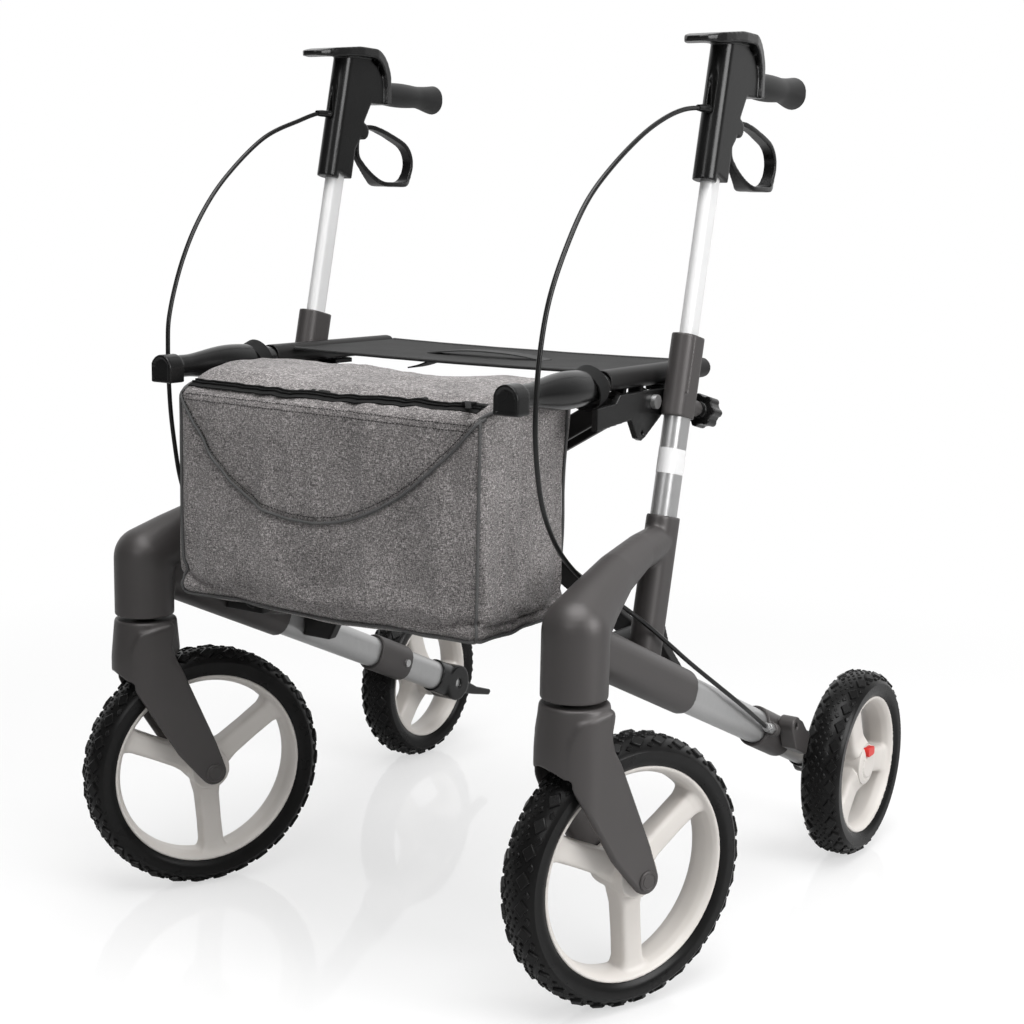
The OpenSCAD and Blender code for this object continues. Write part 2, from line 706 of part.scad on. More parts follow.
// A plate on the upright, and the rest block beside it that the open rail comes down on
module seat_support() color("black") {
    difference() {
        translate([(support_in + support_out) / 2, 0, 0]) side_plate(support_t) polygon(support_outline);
        support_bore(support_hole, support_hole_r);
        support_bore(support_bolt, bolt_r);
    }
    translate([fold_x - rest_in, rest_y, rest_low_z])
        cube([support_in - rest_gap - fold_x + rest_in, rest_len, rest_high_z - rest_low_z]);
}

// The lower fold pivot: a pin held by a block on the socket and a plate on the leg tube
module pivot_bracket() color("black") difference() {
    union() {
        translate([fold_x, 0, fold_low_z]) along_y(pin_ends_y[0], pin_ends_y[1], pivot_pin_r);
        end_plate(bracket_front_y[0], bracket_front_y[1]) translate([fold_x - 14, fold_low_z - 15])
            square([leg_x - leg_w / 2 + 2 - fold_x + 14, 30]);
        end_plate(bracket_rear_y[0], bracket_rear_y[1])
            translate([fold_x, fold_low_z]) polygon([[-14, 14], [-14, -40], [6, -78], [bracket_reach, -78],
                [bracket_reach, -54], [22, -14], [14, 14]]);
    }
    on_leg(socket_start) oval_bar(socket_w, socket_d, leg_len - socket_start);
    on_leg(leg_start) oval_bar(leg_w, leg_d, leg_top - leg_start);
}

// A pair of cross bars from their lower sleeve to their upper eyes, along local X
module cross_bars(off) {
    for (y = [-off, off]) end_plate(y - cross_bar_t / 2, y + cross_bar_t / 2) {
        translate([0, -cross_bar_h / 2]) square([arm_len, cross_bar_h]);
        for (x = [0, arm_len]) translate([x, 0]) circle(d = cross_bar_h);
    }
    along_y(-off - cross_bar_t / 2, off + cross_bar_t / 2, pivot_sleeve_r);
}

module cross_bores() {
    along_y(-80, 80, pivot_pin_r + run_gap);
    translate([arm_len, 0, 0]) along_y(-80, 80, rail_pin_r + run_gap);
}

module from_left_pivot() translate([fold_x, cross_y, fold_low_z]) rotate([0, arm_angle - 180, 0]) children();

module from_right_pivot() translate([-fold_x, cross_y, fold_low_z]) rotate([0, -arm_angle, 0]) children();

module cross_arm_a() color("black") from_left_pivot() difference() {
    end = bar_a_off + cross_bar_t / 2;
    union() {
        cross_bars(bar_a_off);
        translate([arm_len / 2, 0, 0]) along_y(-end - 6, end + 6, centre_pin_r);
        translate([arm_len / 2, 0, 0]) along_y(-end - 6, -end, centre_pin_r + 4);
        translate([arm_len / 2, 0, 0]) along_y(end, end + 6, centre_pin_r + 4);
    }
    cross_bores();
}

module cross_arm_b() color("black") from_right_pivot() difference() {
    cross_bars(bar_b_off);
    cross_bores();
    translate([arm_len / 2, 0, 0]) along_y(-80, 80, centre_pin_r + run_gap);
}

// A rail carries its pivot pin on two lugs inside a pair of cross bars
module seat_rail(off) color("black") translate([fold_x, 0, 0]) {
    lug_off = off - cross_bar_t / 2 - lug_t / 2 - 1;
    translate([0, rail_rear_y, rail_z]) rotate([90, 90, 0])
        oval_tube(rail_h, rail_w, tube_wall, rail_rear_y - rail_front_y);
    translate([0, rail_rear_y + 4, rail_z]) rotate([90, 90, 0]) oval_bar(rail_h, rail_w, 4);
    for (y = [cross_y - lug_off, cross_y + lug_off]) end_plate(y - lug_t / 2, y + lug_t / 2) {
        translate([-rail_pin_r - 3, fold_high_z])
            square([2 * rail_pin_r + 6, rail_z - rail_h / 2 + tube_wall / 2 - fold_high_z]);
        translate([0, fold_high_z]) circle(r = rail_pin_r + 3);
    }
    translate([0, cross_y, fold_high_z])
        along_y(-off - cross_bar_t / 2 - 4, off + cross_bar_t / 2 + 4, rail_pin_r);
}

// The bag arm's radius along its length: a bulge behind, a neck in front
function bulge(t) = t < 0.42
    ? rail_h / 2 + 2 + (bulge_d / 2 - rail_h / 2 - 2) * sin(90 * t / 0.42)
    : neck_d / 2 + (bulge_d - neck_d) / 2 * pow(cos(90 * min(1, (t - 0.42) / 0.45)), 1.5);

module bag_arm() color("black") translate([fold_x, rail_front_y, rail_z - 4]) {
    body_len = bag_arm_len - arm_block_len;
    rotate([90, 0, 0]) rotate_extrude() polygon(concat([[0, 0]],
        [for (i = [0:bulge_rings]) [bulge(i / bulge_rings), body_len * i / bulge_rings]], [[0, body_len]]));
    end_plate(-bag_arm_len, 2 - body_len) {
        circle(d = arm_block_w);
        translate([-arm_block_w / 2, -arm_block_low]) square([arm_block_w, arm_block_low]);
    }
}

module seat_fabric() color("black") {
    half = fold_x - rail_w / 2 - rest_gap;
    translate([-half, seat_front_y, rail_z + 4]) cube([2 * half, rail_rear_y - seat_front_y, seat_t]);
    for (x = [-half, half - hem_w])
        translate([x, seat_front_y, rail_z - 3]) cube([hem_w, rail_rear_y - seat_front_y, seat_t + 7]);
    translate([strap_at[0], strap_at[1], rail_z + 6]) rotate([0, 155, 0]) cube([strap_len, strap_w, seat_t]);
}

// A rectangle with round corners, about the middle
module round_rect(w, h, r) {
    square([w - 2 * r, h], center = true);
    square([w, h - 2 * r], center = true);
    for (x = [-1, 1], y = [-1, 1]) translate([x * (w / 2 - r), y * (h / 2 - r)]) circle(r = r);
}

module bag_shape(shrink) {
    deep = bag_back_y - bag_front_y - 2 * shrink;
    tall = bag_top_z - bag_bottom_z - 2 * shrink;
    wide = bag_w - 2 * shrink;
    translate([0, (bag_front_y + bag_back_y) / 2, (bag_bottom_z + bag_top_z) / 2]) intersection() {
        translate([0, 0, -tall / 2]) linear_extrude(tall) round_rect(wide, deep, bag_corner - shrink);
        end_plate(-deep / 2, deep / 2) round_rect(wide, tall, bag_round - shrink);
        side_plate(wide) round_rect(deep, tall, bag_round - shrink);
    }
}

// The bag is hollow and opens along its zip, near the front of its top
module bag() color("gray") {
    difference() {
        bag_shape(0);
        bag_shape(bag_wall);
        translate([-zip_len / 2, bag_front_y + 34, bag_top_z - 2 * bag_wall])
            cube([zip_len, zip_slit, 4 * bag_wall]);
    }
    for (x = [-fold_x - tab_t, bag_w / 2 - bag_wall])
        translate([x, rail_front_y - tab_back, bulge_low_z - rest_gap - tab_t])
        cube([fold_x + tab_t - bag_w / 2 + bag_wall, tab_len, tab_t]);
}

module screws() color("silver") {
    on_leg(screw_s) along_x(-sleeve_w / 2 - 3, -sleeve_w / 2, screw_head_r);
    on_leg(screw_s) along_x(-sleeve_w / 2, -leg_w / 2, screw_r);
    translate([0, support_bolt[0], support_bolt[1]]) {
        along_x(support_in, support_out, bolt_r);
        along_x(support_out, support_out + 5, bolt_r + 3.5);
    }
}

side_frame();  // left_side_frame
mirrored() side_frame();  // right_side_frame
head_bearings();  // left_head_bearings
mirrored() head_bearings();  // right_head_bearings
upright_tube();  // left_upright_tube
mirrored() upright_tube();  // right_upright_tube
height_clamp();  // left_height_clamp
mirrored() height_clamp();  // right_height_clamp
clamp_knob();  // left_clamp_knob
mirrored() clamp_knob();  // right_clamp_knob
handle_tube();  // left_handle_tube
mirrored() handle_tube();  // right_handle_tube
handle_body();  // left_handle_body
mirrored() handle_body();  // right_handle_body
grip();  // left_grip
mirrored() grip();  // right_grip
brake_lever();  // left_brake_lever
mirrored() brake_lever();  // right_brake_lever
brake_cable(left_route, 1);  // left_brake_cable
brake_cable(right_route, -1);  // right_brake_cable
cable_adjuster();  // left_cable_adjuster
mirrored() cable_adjuster();  // right_cable_adjuster
rear_leg_tube();  // left_rear_leg_tube
mirrored() rear_leg_tube();  // right_rear_leg_tube
brake_mount();  // left_brake_mount
mirrored() brake_mount();  // right_brake_mount
brake_shoe();  // left_brake_shoe
mirrored() brake_shoe();  // right_brake_shoe
axle_housing();  // left_axle_housing
mirrored() axle_housing();  // right_axle_housing
rear_axle();  // left_rear_axle
mirrored() rear_axle();  // right_rear_axle
rear_rim();  // left_rear_rim
mirrored() rear_rim();  // right_rear_rim
rear_tyre();  // left_rear_tyre
mirrored() rear_tyre();  // right_rear_tyre
release_button();  // left_release_button
mirrored() release_button();  // right_release_button
left_caster() fork();  // left_fork
right_caster() fork();  // right_fork
left_caster() front_axle();  // left_front_axle
right_caster() front_axle();  // right_front_axle
left_caster() front_rim();  // left_front_rim
right_caster() front_rim();  // right_front_rim
left_caster() front_tyre();  // left_front_tyre
right_caster() front_tyre();  // right_front_tyre
seat_support();  // left_seat_support
mirrored() seat_support();  // right_seat_support
pivot_bracket();  // left_pivot_bracket
mirrored() pivot_bracket();  // right_pivot_bracket
seat_rail(bar_b_off);  // left_seat_rail
mirrored() seat_rail(bar_a_off);  // right_seat_rail
bag_arm();  // left_bag_arm
mirrored() bag_arm();  // right_bag_arm
screws();  // left_screws
mirrored() screws();  // right_screws
cross_arm_a();
cross_arm_b();
seat_fabric();
bag();
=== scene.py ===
import json
import math

import bmesh
import bpy
from mathutils import Matrix, Vector, noise
from mathutils.bvhtree import BVHTree
from mathutils.kdtree import KDTree


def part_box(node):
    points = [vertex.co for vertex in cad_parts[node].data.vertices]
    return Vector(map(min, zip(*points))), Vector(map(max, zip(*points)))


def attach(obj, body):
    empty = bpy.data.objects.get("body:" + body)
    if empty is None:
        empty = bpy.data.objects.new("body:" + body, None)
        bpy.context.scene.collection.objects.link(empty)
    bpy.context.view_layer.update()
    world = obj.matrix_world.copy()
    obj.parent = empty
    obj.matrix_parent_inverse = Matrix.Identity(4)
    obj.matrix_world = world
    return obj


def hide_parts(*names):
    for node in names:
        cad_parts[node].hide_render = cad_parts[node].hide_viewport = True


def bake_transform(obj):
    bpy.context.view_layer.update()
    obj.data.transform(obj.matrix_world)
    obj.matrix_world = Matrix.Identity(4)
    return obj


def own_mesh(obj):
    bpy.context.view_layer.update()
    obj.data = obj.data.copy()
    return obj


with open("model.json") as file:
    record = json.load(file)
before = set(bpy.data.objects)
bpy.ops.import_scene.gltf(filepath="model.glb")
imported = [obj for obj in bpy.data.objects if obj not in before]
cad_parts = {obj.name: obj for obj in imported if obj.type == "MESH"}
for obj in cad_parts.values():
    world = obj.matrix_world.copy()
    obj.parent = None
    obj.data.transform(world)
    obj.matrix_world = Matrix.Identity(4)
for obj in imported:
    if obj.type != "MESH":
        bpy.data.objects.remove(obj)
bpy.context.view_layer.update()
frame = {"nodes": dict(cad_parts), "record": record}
scene = bpy.context.scene
mm = 0.001
sideSigns = {"left": 1, "right": -1}
print("frame loaded with", len(frame["nodes"]), "nodes")

photoView = {"place": (1.1003, -1.7020, 0.7868), "azimuth": 32.83, "elevation": 9.98, "roll": 1.17, "lens": 61.29}


def setCamera():
    azimuth, elevation, roll = (math.radians(photoView[k]) for k in ("azimuth", "elevation", "roll"))
    flat = math.cos(elevation)
    back = Vector((math.sin(azimuth) * flat, -math.cos(azimuth) * flat, math.sin(elevation)))
    right = Vector((math.cos(azimuth), math.sin(azimuth), 0))
    up = back.cross(right)
    across = math.cos(roll) * right + math.sin(roll) * up
    upward = math.cos(roll) * up - math.sin(roll) * right
    data = bpy.data.cameras.new("photoCamera")
    data.sensor_width = 36
    data.lens = photoView["lens"]
    camera = bpy.data.objects.new("photoCamera", data)
    scene.collection.objects.link(camera)
    turn = Matrix((across, upward, back)).transposed().to_4x4()
    camera.matrix_world = Matrix.Translation(photoView["place"]) @ turn
    scene.camera = camera


setCamera()
print("camera set")


objectSpot = 3  # the Texture Coordinate node's Object output


class Signal:
    def __init__(self, tree, socket):
        self.tree = tree
        self.socket = socket

    def combine(self, operation, first, second):
        node = self.tree.nodes.new("ShaderNodeMath")
        node.operation = operation
        for place, value in zip(node.inputs, (first, second)):
            if isinstance(value, Signal):
                self.tree.links.new(value.socket, place)
            else:
                place.default_value = value
        return Signal(self.tree, node.outputs[0])

    def __add__(self, other):
        return self.combine("ADD", self, other)

    def __radd__(self, other):
        return self.combine("ADD", other, self)

    def __sub__(self, other):
        return self.combine("SUBTRACT", self, other)

    def __mul__(self, other):
        return self.combine("MULTIPLY", self, other)


class Finish:
    def __init__(self, name, store=bpy.data.materials):
        self.material = store.new(name)
        self.material.use_nodes = True
        self.tree = self.material.node_tree
        self.tree.nodes.clear()

    def add(self, kind, settings=None, sockets=None, out=0):
        node = self.tree.nodes.new("ShaderNode" + kind)
        for key, value in (settings or {}).items():
            if key == "stops":
                for element, (position, colour) in zip(node.color_ramp.elements, value):
                    element.position, element.color = position, colour
                for position, colour in value[2:]:
                    node.color_ramp.elements.new(position).color = colour
            else:
                setattr(node, key, value)
        for key, value in (sockets or {}).items():
            if isinstance(value, Signal):
                self.tree.links.new(value.socket, node.inputs[key])
            else:
                node.inputs[key].default_value = value
        return Signal(self.tree, node.outputs[out]) if node.outputs else None

    def place(self, scale=(1, 1, 1)):
        return self.add("Mapping", sockets={"Vector": self.add("TexCoord", out=objectSpot), "Scale": scale})

    def grain(self, scale, detail=2.0, roughness=0.5, stretch=(1, 1, 1)):
        return self.add("TexNoise", sockets={
            "Vector": self.place(stretch), "Scale": scale, "Detail": detail, "Roughness": roughness})

    def mix(self, share, first, second):
        return self.add("Mix", {"data_type": "RGBA"}, {0: share, 6: first, 7: second}, out=2)

    def ramp(self, value, *stops):
        return self.add("ValToRGB", {"stops": stops}, {"Fac": value})

    def surface(self, colour, roughness, height=None, lift=0.0002, strength=0.3, **fixed):
        sockets = {"Base Color": colour, "Roughness": roughness}
        for key, value in fixed.items():
            sockets[key.replace("_", " ")] = value
        if height is not None:
            sockets["Normal"] = self.add("Bump", sockets={"Strength": strength, "Distance": lift, "Height": height})
        shader = self.add("BsdfPrincipled", sockets=sockets)
        self.add("OutputMaterial", sockets={"Surface": shader})
        return self.material


def grey(level, warmth=0.0):
    return (level * (1 + warmth), level, level * (1 - warmth * 0.2), 1)


def paintedCoat(name, dark, light, metallic, gloss=0.5):
    f = Finish(name)
    fleck = f.grain(2600, 2, 0.6)
    cloud = f.grain(7, 3)
    colour = f.mix(fleck * 0.5 + cloud * 0.5, grey(dark, 0.08), grey(light, 0.08))
    return f.surface(colour, 0.40 + cloud * 0.14, fleck, 0.00005, 0.25, Metallic=metallic, Coat_Weight=0.16 * gloss,
                     Coat_Roughness=0.35, Specular_IOR_Level=gloss)


def drawnTube(name, dark, light, metallic, rough=0.30):
    f = Finish(name)
    lines = f.grain(1, 3, 0.6, (900, 160, 70))  # fine drawing marks along the tubes
    cloud = f.grain(5, 2)
    colour = f.mix(lines * 0.6 + cloud * 0.4, grey(dark), grey(light))
    return f.surface(colour, rough + lines * 0.14, lines, 0.00003, 0.2, Metallic=metallic)


def mouldedPlastic(name, dark, light, rough, scale=1500):
    f = Finish(name)
    pebble = f.add("TexVoronoi", {"feature": "SMOOTH_F1"}, {"Vector": f.place(), "Scale": scale})
    cloud = f.grain(16, 3)
    colour = f.mix(cloud, grey(dark), grey(light))
    return f.surface(colour, rough + cloud * 0.12, pebble, 0.0001, 0.3, Specular_IOR_Level=0.36)


def tyreRubber():
    f = Finish("tyreRubber")
    dust = f.grain(30, 4, 0.65)
    fine = f.grain(1300, 2)
    colour = f.mix(dust * 0.8 + fine * 0.2, grey(0.004), grey(0.012, 0.02))
    return f.surface(colour, 0.20 + dust * 0.18, fine, 0.00010, 0.35, Specular_IOR_Level=0.16)


def rimPlastic():
    f = Finish("rimPlastic")
    cloud = f.grain(9, 3)
    fine = f.grain(1100, 2)
    colour = f.mix(cloud, (0.64, 0.605, 0.57, 1), (0.71, 0.68, 0.645, 1))
    return f.surface(colour, 0.34 + cloud * 0.12, fine, 0.00006, 0.2)


def redPlastic():
    f = Finish("redPlastic")
    cloud = f.grain(60, 2)
    colour = f.mix(cloud, (0.56, 0.018, 0.014, 1), (0.72, 0.03, 0.022, 1))
    return f.surface(colour, 0.26 + cloud * 0.1)


def melangeCloth():
    f = Finish("melangeCloth")
    weft = f.grain(1, 3, 0.75, (260, 260, 1150))
    warp = f.grain(1, 3, 0.75, (1150, 1150, 320))
    fleck = f.grain(820, 3, 0.8)
    cloud = f.grain(11, 3)
    yarn = weft * 0.34 + warp * 0.34 + fleck * 0.32
    colour = f.ramp(yarn + cloud * 0.08 - 0.04, (0.40, grey(0.028, 0.06)), (0.60, grey(0.52, 0.06)),
                    (0.465, grey(0.094, 0.07)), (0.525, grey(0.215, 0.07)))
    return f.surface(colour, 0.82 + cloud * 0.1, yarn, 0.0006, 0.5, Sheen_Weight=0.12, Sheen_Roughness=0.5)


def seatCloth():
    f = Finish("seatCloth")
    rows = f.add("TexWave", {"bands_direction": "X"}, {"Vector": f.place(), "Scale": 130, "Distortion": 0.4}, out=1)
    ribs = f.add("TexWave", {"bands_direction": "Y"}, {"Vector": f.place(), "Scale": 130, "Distortion": 0.4}, out=1)
    cloud = f.grain(25, 3)
    colour = f.mix(rows * ribs * 0.6 + cloud * 0.4, grey(0.010), grey(0.034))
    return f.surface(colour, 0.60 + cloud * 0.15, rows * ribs, 0.0004, 0.5, Specular_IOR_Level=0.26)


def wovenTape(name, dark, light):
    f = Finish(name)
    rows = f.add("TexWave", {"bands_direction": "DIAGONAL"}, {"Vector": f.place(), "Scale": 260}, out=1)
    fine = f.grain(900, 2)
    colour = f.mix(rows * 0.5 + fine * 0.5, grey(dark), grey(light))
    return f.surface(colour, 0.6 + fine * 0.15, rows, 0.0003, 0.5, Specular_IOR_Level=0.2)


def sheathPlastic():
    f = Finish("sheathPlastic")
    fine = f.grain(700, 2)
    cloud = f.grain(20, 2)
    colour = f.mix(cloud, grey(0.004), grey(0.009))
    return f.surface(colour, 0.24 + fine * 0.10, fine, 0.00004, 0.2, Specular_IOR_Level=0.35)


finishes = {
    "frame_coat": paintedCoat("frameCoat", 0.050, 0.078, 0.40),
    "silver_tube": drawnTube("silverTube", 0.42, 0.55, 0.75),
    "handle_tube": drawnTube("handleTube", 0.70, 0.80, 0.2, 0.46),
    "steel": drawnTube("brightSteel", 0.50, 0.66, 0.95),
    "black_plastic": mouldedPlastic("blackPlastic", 0.004, 0.009, 0.19),
    "rim": rimPlastic(),
    "tyre": tyreRubber(),
    "grip_rubber": mouldedPlastic("gripRubber", 0.009, 0.018, 0.40, 900),
    "cable_sheath": sheathPlastic(),
    "red_button": redPlastic(),
    "black_bars": paintedCoat("blackBars", 0.004, 0.009, 0.05, 0.3),
    "seat_cloth": seatCloth(),
    "bag_cloth": melangeCloth(),
}
pipingCloth = wovenTape("pipingCloth", 0.06, 0.13)
zipTape = wovenTape("zipTape", 0.003, 0.009)
hemTape = wovenTape("hemTape", 0.035, 0.08)
labelFilm = mouldedPlastic("labelFilm", 0.72, 0.80, 0.4)
print("finishes made")

nodeSlots = {part["node"]: part["material_slot"] for part in frame["record"]["subparts"]}
for name, node in frame["nodes"].items():
    node.data.materials.clear()
    node.data.materials.append(finishes[nodeSlots[name]])


def pieceFrom(bm, name, body, slotName, nodes=(), finish=None, sharp=40):
    mesh = bpy.data.meshes.new(name)
    bm.to_mesh(mesh)
    bm.free()
    mesh.materials.append(finish or finishes[slotName])
    mesh.polygons.foreach_set("use_smooth", [True] * len(mesh.polygons))
    if sharp:
        mesh.set_sharp_from_angle(angle=math.radians(sharp))
    piece = bpy.data.objects.new(name, mesh)
    scene.collection.objects.link(piece)
    if nodes:
        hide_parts(*nodes)
    if body:
        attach(piece, body)
    return piece


def mergedCopy(node):
    bm = bmesh.new()
    bm.from_mesh(frame["nodes"][node].data)
    bmesh.ops.remove_doubles(bm, verts=bm.verts, dist=0.005 * mm)
    return bm


def castSkin(bm, voxel, rounds):
    mesh = bpy.data.meshes.new("casting")
    bm.to_mesh(mesh)
    bm.free()
    holder = bpy.data.objects.new("casting", mesh)
    scene.collection.objects.link(holder)
    skin = holder.modifiers.new("skin", "REMESH")
    skin.mode = "VOXEL"
    skin.voxel_size = voxel * mm
    soft = holder.modifiers.new("soft", "SMOOTH")
    soft.factor = 0.5
    soft.iterations = rounds
    result = bmesh.new()
    result.from_object(holder, bpy.context.evaluated_depsgraph_get())
    bpy.data.objects.remove(holder)
    bpy.data.meshes.remove(mesh)
    return result


def softStep(value, low, high):
    u = min(max((value - low) / (high - low), 0), 1)
    return u * u * (3 - 2 * u)


def flipAcross(bm):
    bmesh.ops.scale(bm, vec=(-1, 1, 1), verts=bm.verts)
    bmesh.ops.reverse_faces(bm, faces=bm.faces)


def moved(bm, matrix):
    bmesh.ops.transform(bm, matrix=matrix, verts=bm.verts)
    return bm


def pairFrom(bm, part, slotName, bodyPart, sharp=None, nodes=None):
    other = bm.copy()
    flipAcross(other)
    for side, shape in (("left", bm), ("right", other)):
        pieceFrom(shape, side + "_" + part + "_skin", side + "_" + bodyPart, slotName,
                  [side + "_" + n for n in ([part] if nodes is None else nodes)], sharp=sharp)


def lathe(points, steps=96):
    bm = bmesh.new()
    ring = [bm.verts.new((x * mm, 0, r * mm)) for r, x in points]
    edges = [bm.edges.new((a, b)) for a, b in zip(ring, ring[1:] + ring[:1])]
    bmesh.ops.spin(bm, geom=ring + edges, cent=(0, 0, 0), axis=(1, 0, 0), angle=2 * math.pi, steps=steps,
                   use_merge=True)
    bmesh.ops.remove_doubles(bm, verts=bm.verts, dist=0.001 * mm)
    bmesh.ops.recalc_face_normals(bm, faces=bm.faces)
    return bm


# Brake cables: points in mm, outwards from the upright's place, the same as in the part's source
cableSpec = {"diameter": 5, "upright": 253, "rings": 14, "ends": [(302, 12.3, 245.3), (302, 81.3, 203.3)]}
cableRoutes = {
    "left": [(0, -20, 890), (0, -45, 890), (1, -84, 886), (1, -125, 875), (1, -171, 856), (2, -228, 825),
             (2, -273, 792), (2, -308, 750), (2, -335, 705), (2, -349, 660), (2, -355, 610), (1, -352, 564),
             (-1, -337, 514), (-6, -308, 476), (-11, -273, 446), (-12, -230, 417), (-3, -184, 390),
             (15, -150, 362), (23, -112, 334), (32, -72, 304)],
    "right": [(0, -20, 890), (0, -45, 890), (1, -80, 880), (2, -143, 857), (3, -206, 812), (4, -247, 768),
              (5, -276, 719), (5, -296, 665), (5, -300, 627), (5, -298, 566), (3, -294, 520), (-3, -291, 478),
              (-10, -282, 444), (-13, -262, 418), (-12, -226, 402), (-3, -184, 386), (15, -150, 362),
              (23, -112, 334), (32, -72, 304)],
}


def smoothLine(points, rings):
    line = []
    last = len(points) - 1
    for i in range(last):
        a, b, c, d = (points[min(max(i + k, 0), last)] for k in (-1, 0, 1, 2))
        for k in range(rings):
            u = k / rings
            line.append(0.5 * (2 * b + (c - a) * u + (2 * a - 5 * b + 4 * c - d) * u * u
                               + (3 * b - a - 3 * c + d) * u * u * u))
    return line + [points[-1]]


def tubeAlong(line, radius, name, sides=2):
    curve = bpy.data.curves.new(name, "CURVE")
    curve.dimensions = "3D"
    curve.bevel_depth = radius
    curve.bevel_resolution = sides
    curve.use_fill_caps = True
    spline = curve.splines.new("POLY")
    spline.points.add(len(line) - 1)
    for spot, p in zip(spline.points, line):
        spot.co = (*p, 1)
    holder = bpy.data.objects.new(name, curve)
    scene.collection.objects.link(holder)
    mesh = bpy.data.meshes.new_from_object(holder.evaluated_get(bpy.context.evaluated_depsgraph_get()))
    bm = bmesh.new()
    bm.from_mesh(mesh)
    bpy.data.objects.remove(holder)
    bpy.data.curves.remove(curve)
    bpy.data.meshes.remove(mesh)
    bmesh.ops.remove_doubles(bm, verts=bm.verts, dist=0.001 * mm)
    bmesh.ops.recalc_face_normals(bm, faces=bm.faces)
    return bm


def lineLength(line):
    return sum((b - a).length for a, b in zip(line, line[1:]))


for side, sign in sideSigns.items():
    points = [(cableSpec["upright"] + x, y, z) for x, y, z in cableRoutes[side]] + cableSpec["ends"]
    line = smoothLine([Vector((sign * x, y, z)) * mm for x, y, z in points], cableSpec["rings"])
    cable = pieceFrom(tubeAlong(line, cableSpec["diameter"] * mm / 2, "cable", sides=3), side + "_cable_run", None,
                      "cable_sheath", [side + "_brake_cable"], sharp=None)
    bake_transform(cable)
    lineLength(line)
    print(side, "cable", round(lineLength(line), 3), "m")

casterSpec = {"x": 282, "y": -318, "trail": 67, "swivel": {"left": 22, "right": 27}}


def casterPlace(side):
    spot = Vector((sideSigns[side] * casterSpec["x"], casterSpec["y"], 0)) * mm
    return Matrix.Translation(spot) @ Matrix.Rotation(math.radians(-casterSpec["swivel"][side]), 4, "Z")


# Castings: the solid's own form with rounded edges and filleted corners
castings = {
    "side_frame": ("frame_coat", "frame", 1.6, 12),
    "height_clamp": ("frame_coat", "frame", 1.0, 7),
    "brake_mount": ("frame_coat", "frame", 1.0, 6),
    "brake_shoe": ("frame_coat", "shoe", 0.9, 6),
    "axle_housing": ("black_plastic", "frame", 1.1, 8),
    "handle_body": ("black_plastic", "handle", 1.1, 7),
    "clamp_knob": ("black_plastic", "knob", 0.8, 6),
    "seat_support": ("black_plastic", "frame", 1.0, 4),
    "bag_arm": ("black_plastic", "rail", 1.1, 6),
}
handleSpec = {"x": 253, "y": 7.447, "z": 920, "groove": 3.2, "deep": 2.4, "front": -28, "lean": 0.22444, "nose": 1.3}
collarSpot = {"y": -94, "z": 468}
slitSpec = {"along": -9, "half": 1.1, "from": 0.34, "foot": (-14, -8), "footHalf": 0.011, "deep": 1.3}


def slitClamp(bm):
    s = slitSpec
    low, high = (corner[2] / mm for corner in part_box("left_height_clamp"))
    bm.normal_update()
    for v in bm.verts:
        along = v.co.y / mm - collarSpot["y"] - (v.co.z / mm - collarSpot["z"]) * handleSpec["lean"]
        share = (v.co.z / mm - low) / (high - low)
        slit = abs(along - s["along"]) < s["half"] and share > s["from"]
        foot = s["foot"][0] < along < s["foot"][1] and abs(share - s["from"]) < s["footHalf"]
        if v.normal.x > 0.6 and (slit or foot):
            v.co.x -= s["deep"] * mm


def shapeHandle(bm):
    s = handleSpec
    bm.normal_update()
    for v in bm.verts:
        x, y, z = v.co.x / mm - s["x"], v.co.y / mm - s["y"], v.co.z / mm - s["z"]
        if abs(x) < s["groove"] and -98 < z < 18 and y - z * s["lean"] < s["front"] and v.normal.y < -0.5:
            v.co.y += s["deep"] * mm  # groove down the front
        elif y < -24 and z > 25 and v.normal.z < -0.3:
            v.co.z -= s["nose"] * mm * min((-y - 24) / 26, 1)  # full nose under the palm guard


armSpec = {"x": 219, "z": 609, "face": -349.5, "reach": 10.4, "below": -12.4, "deep": 1.6}


def sinkArmEnd(bm):
    s = armSpec
    for v in bm.verts:  # the end block's face is let in behind a raised rim
        x, z = v.co.x / mm - s["x"], v.co.z / mm - s["z"]
        if (v.co.y < s["face"] * mm and abs(x) < s["reach"] and z > s["below"]
                and math.hypot(x, max(z, 0)) < s["reach"]):
            v.co.y += s["deep"] * mm


for part, (slotName, bodyPart, voxel, rounds) in castings.items():
    skin = castSkin(mergedCopy("left_" + part), voxel, rounds)
    if part == "handle_body":
        shapeHandle(skin)
    if part == "height_clamp":
        slitClamp(skin)
    if part == "bag_arm":
        sinkArmEnd(skin)
    pairFrom(skin, part, slotName, bodyPart)
print("castings made:", len(castings))

forkSpec = {"top": 322, "ahead": 1, "front": 39.0, "rear": 42.0, "arch": -60, "archFall": 0.013, "archHalf": 27}


def blendFork(bm):
    s = forkSpec
    for v in bm.verts:
        x, y, z = v.co.x / mm, v.co.y / mm - s["ahead"], v.co.z / mm - s["top"]
        limit = s["front"] if y < 0 else s["rear"] + 0.5 * max(0, -45 - z)
        reach = math.hypot(x, y)
        if reach > limit:  # the blades' edges follow the round of the crown
            v.co.x *= limit / reach
            v.co.y = (s["ahead"] + y * limit / reach) * mm
        if y < 0 and abs(x) < s["archHalf"]:
            v.co.z = max(v.co.z, (s["top"] + s["arch"] - s["archFall"] * x * x) * mm)


fork = moved(mergedCopy("left_fork"), casterPlace("left").inverted())
fork = castSkin(fork, 1.6, 2)
blendFork(fork)
fork = castSkin(fork, 1.5, 16)
for side in sideSigns:
    pieceFrom(moved(fork.copy(), casterPlace(side)), side + "_fork_skin", side + "_caster", "frame_coat",
              [side + "_fork"], sharp=None)
fork.free()

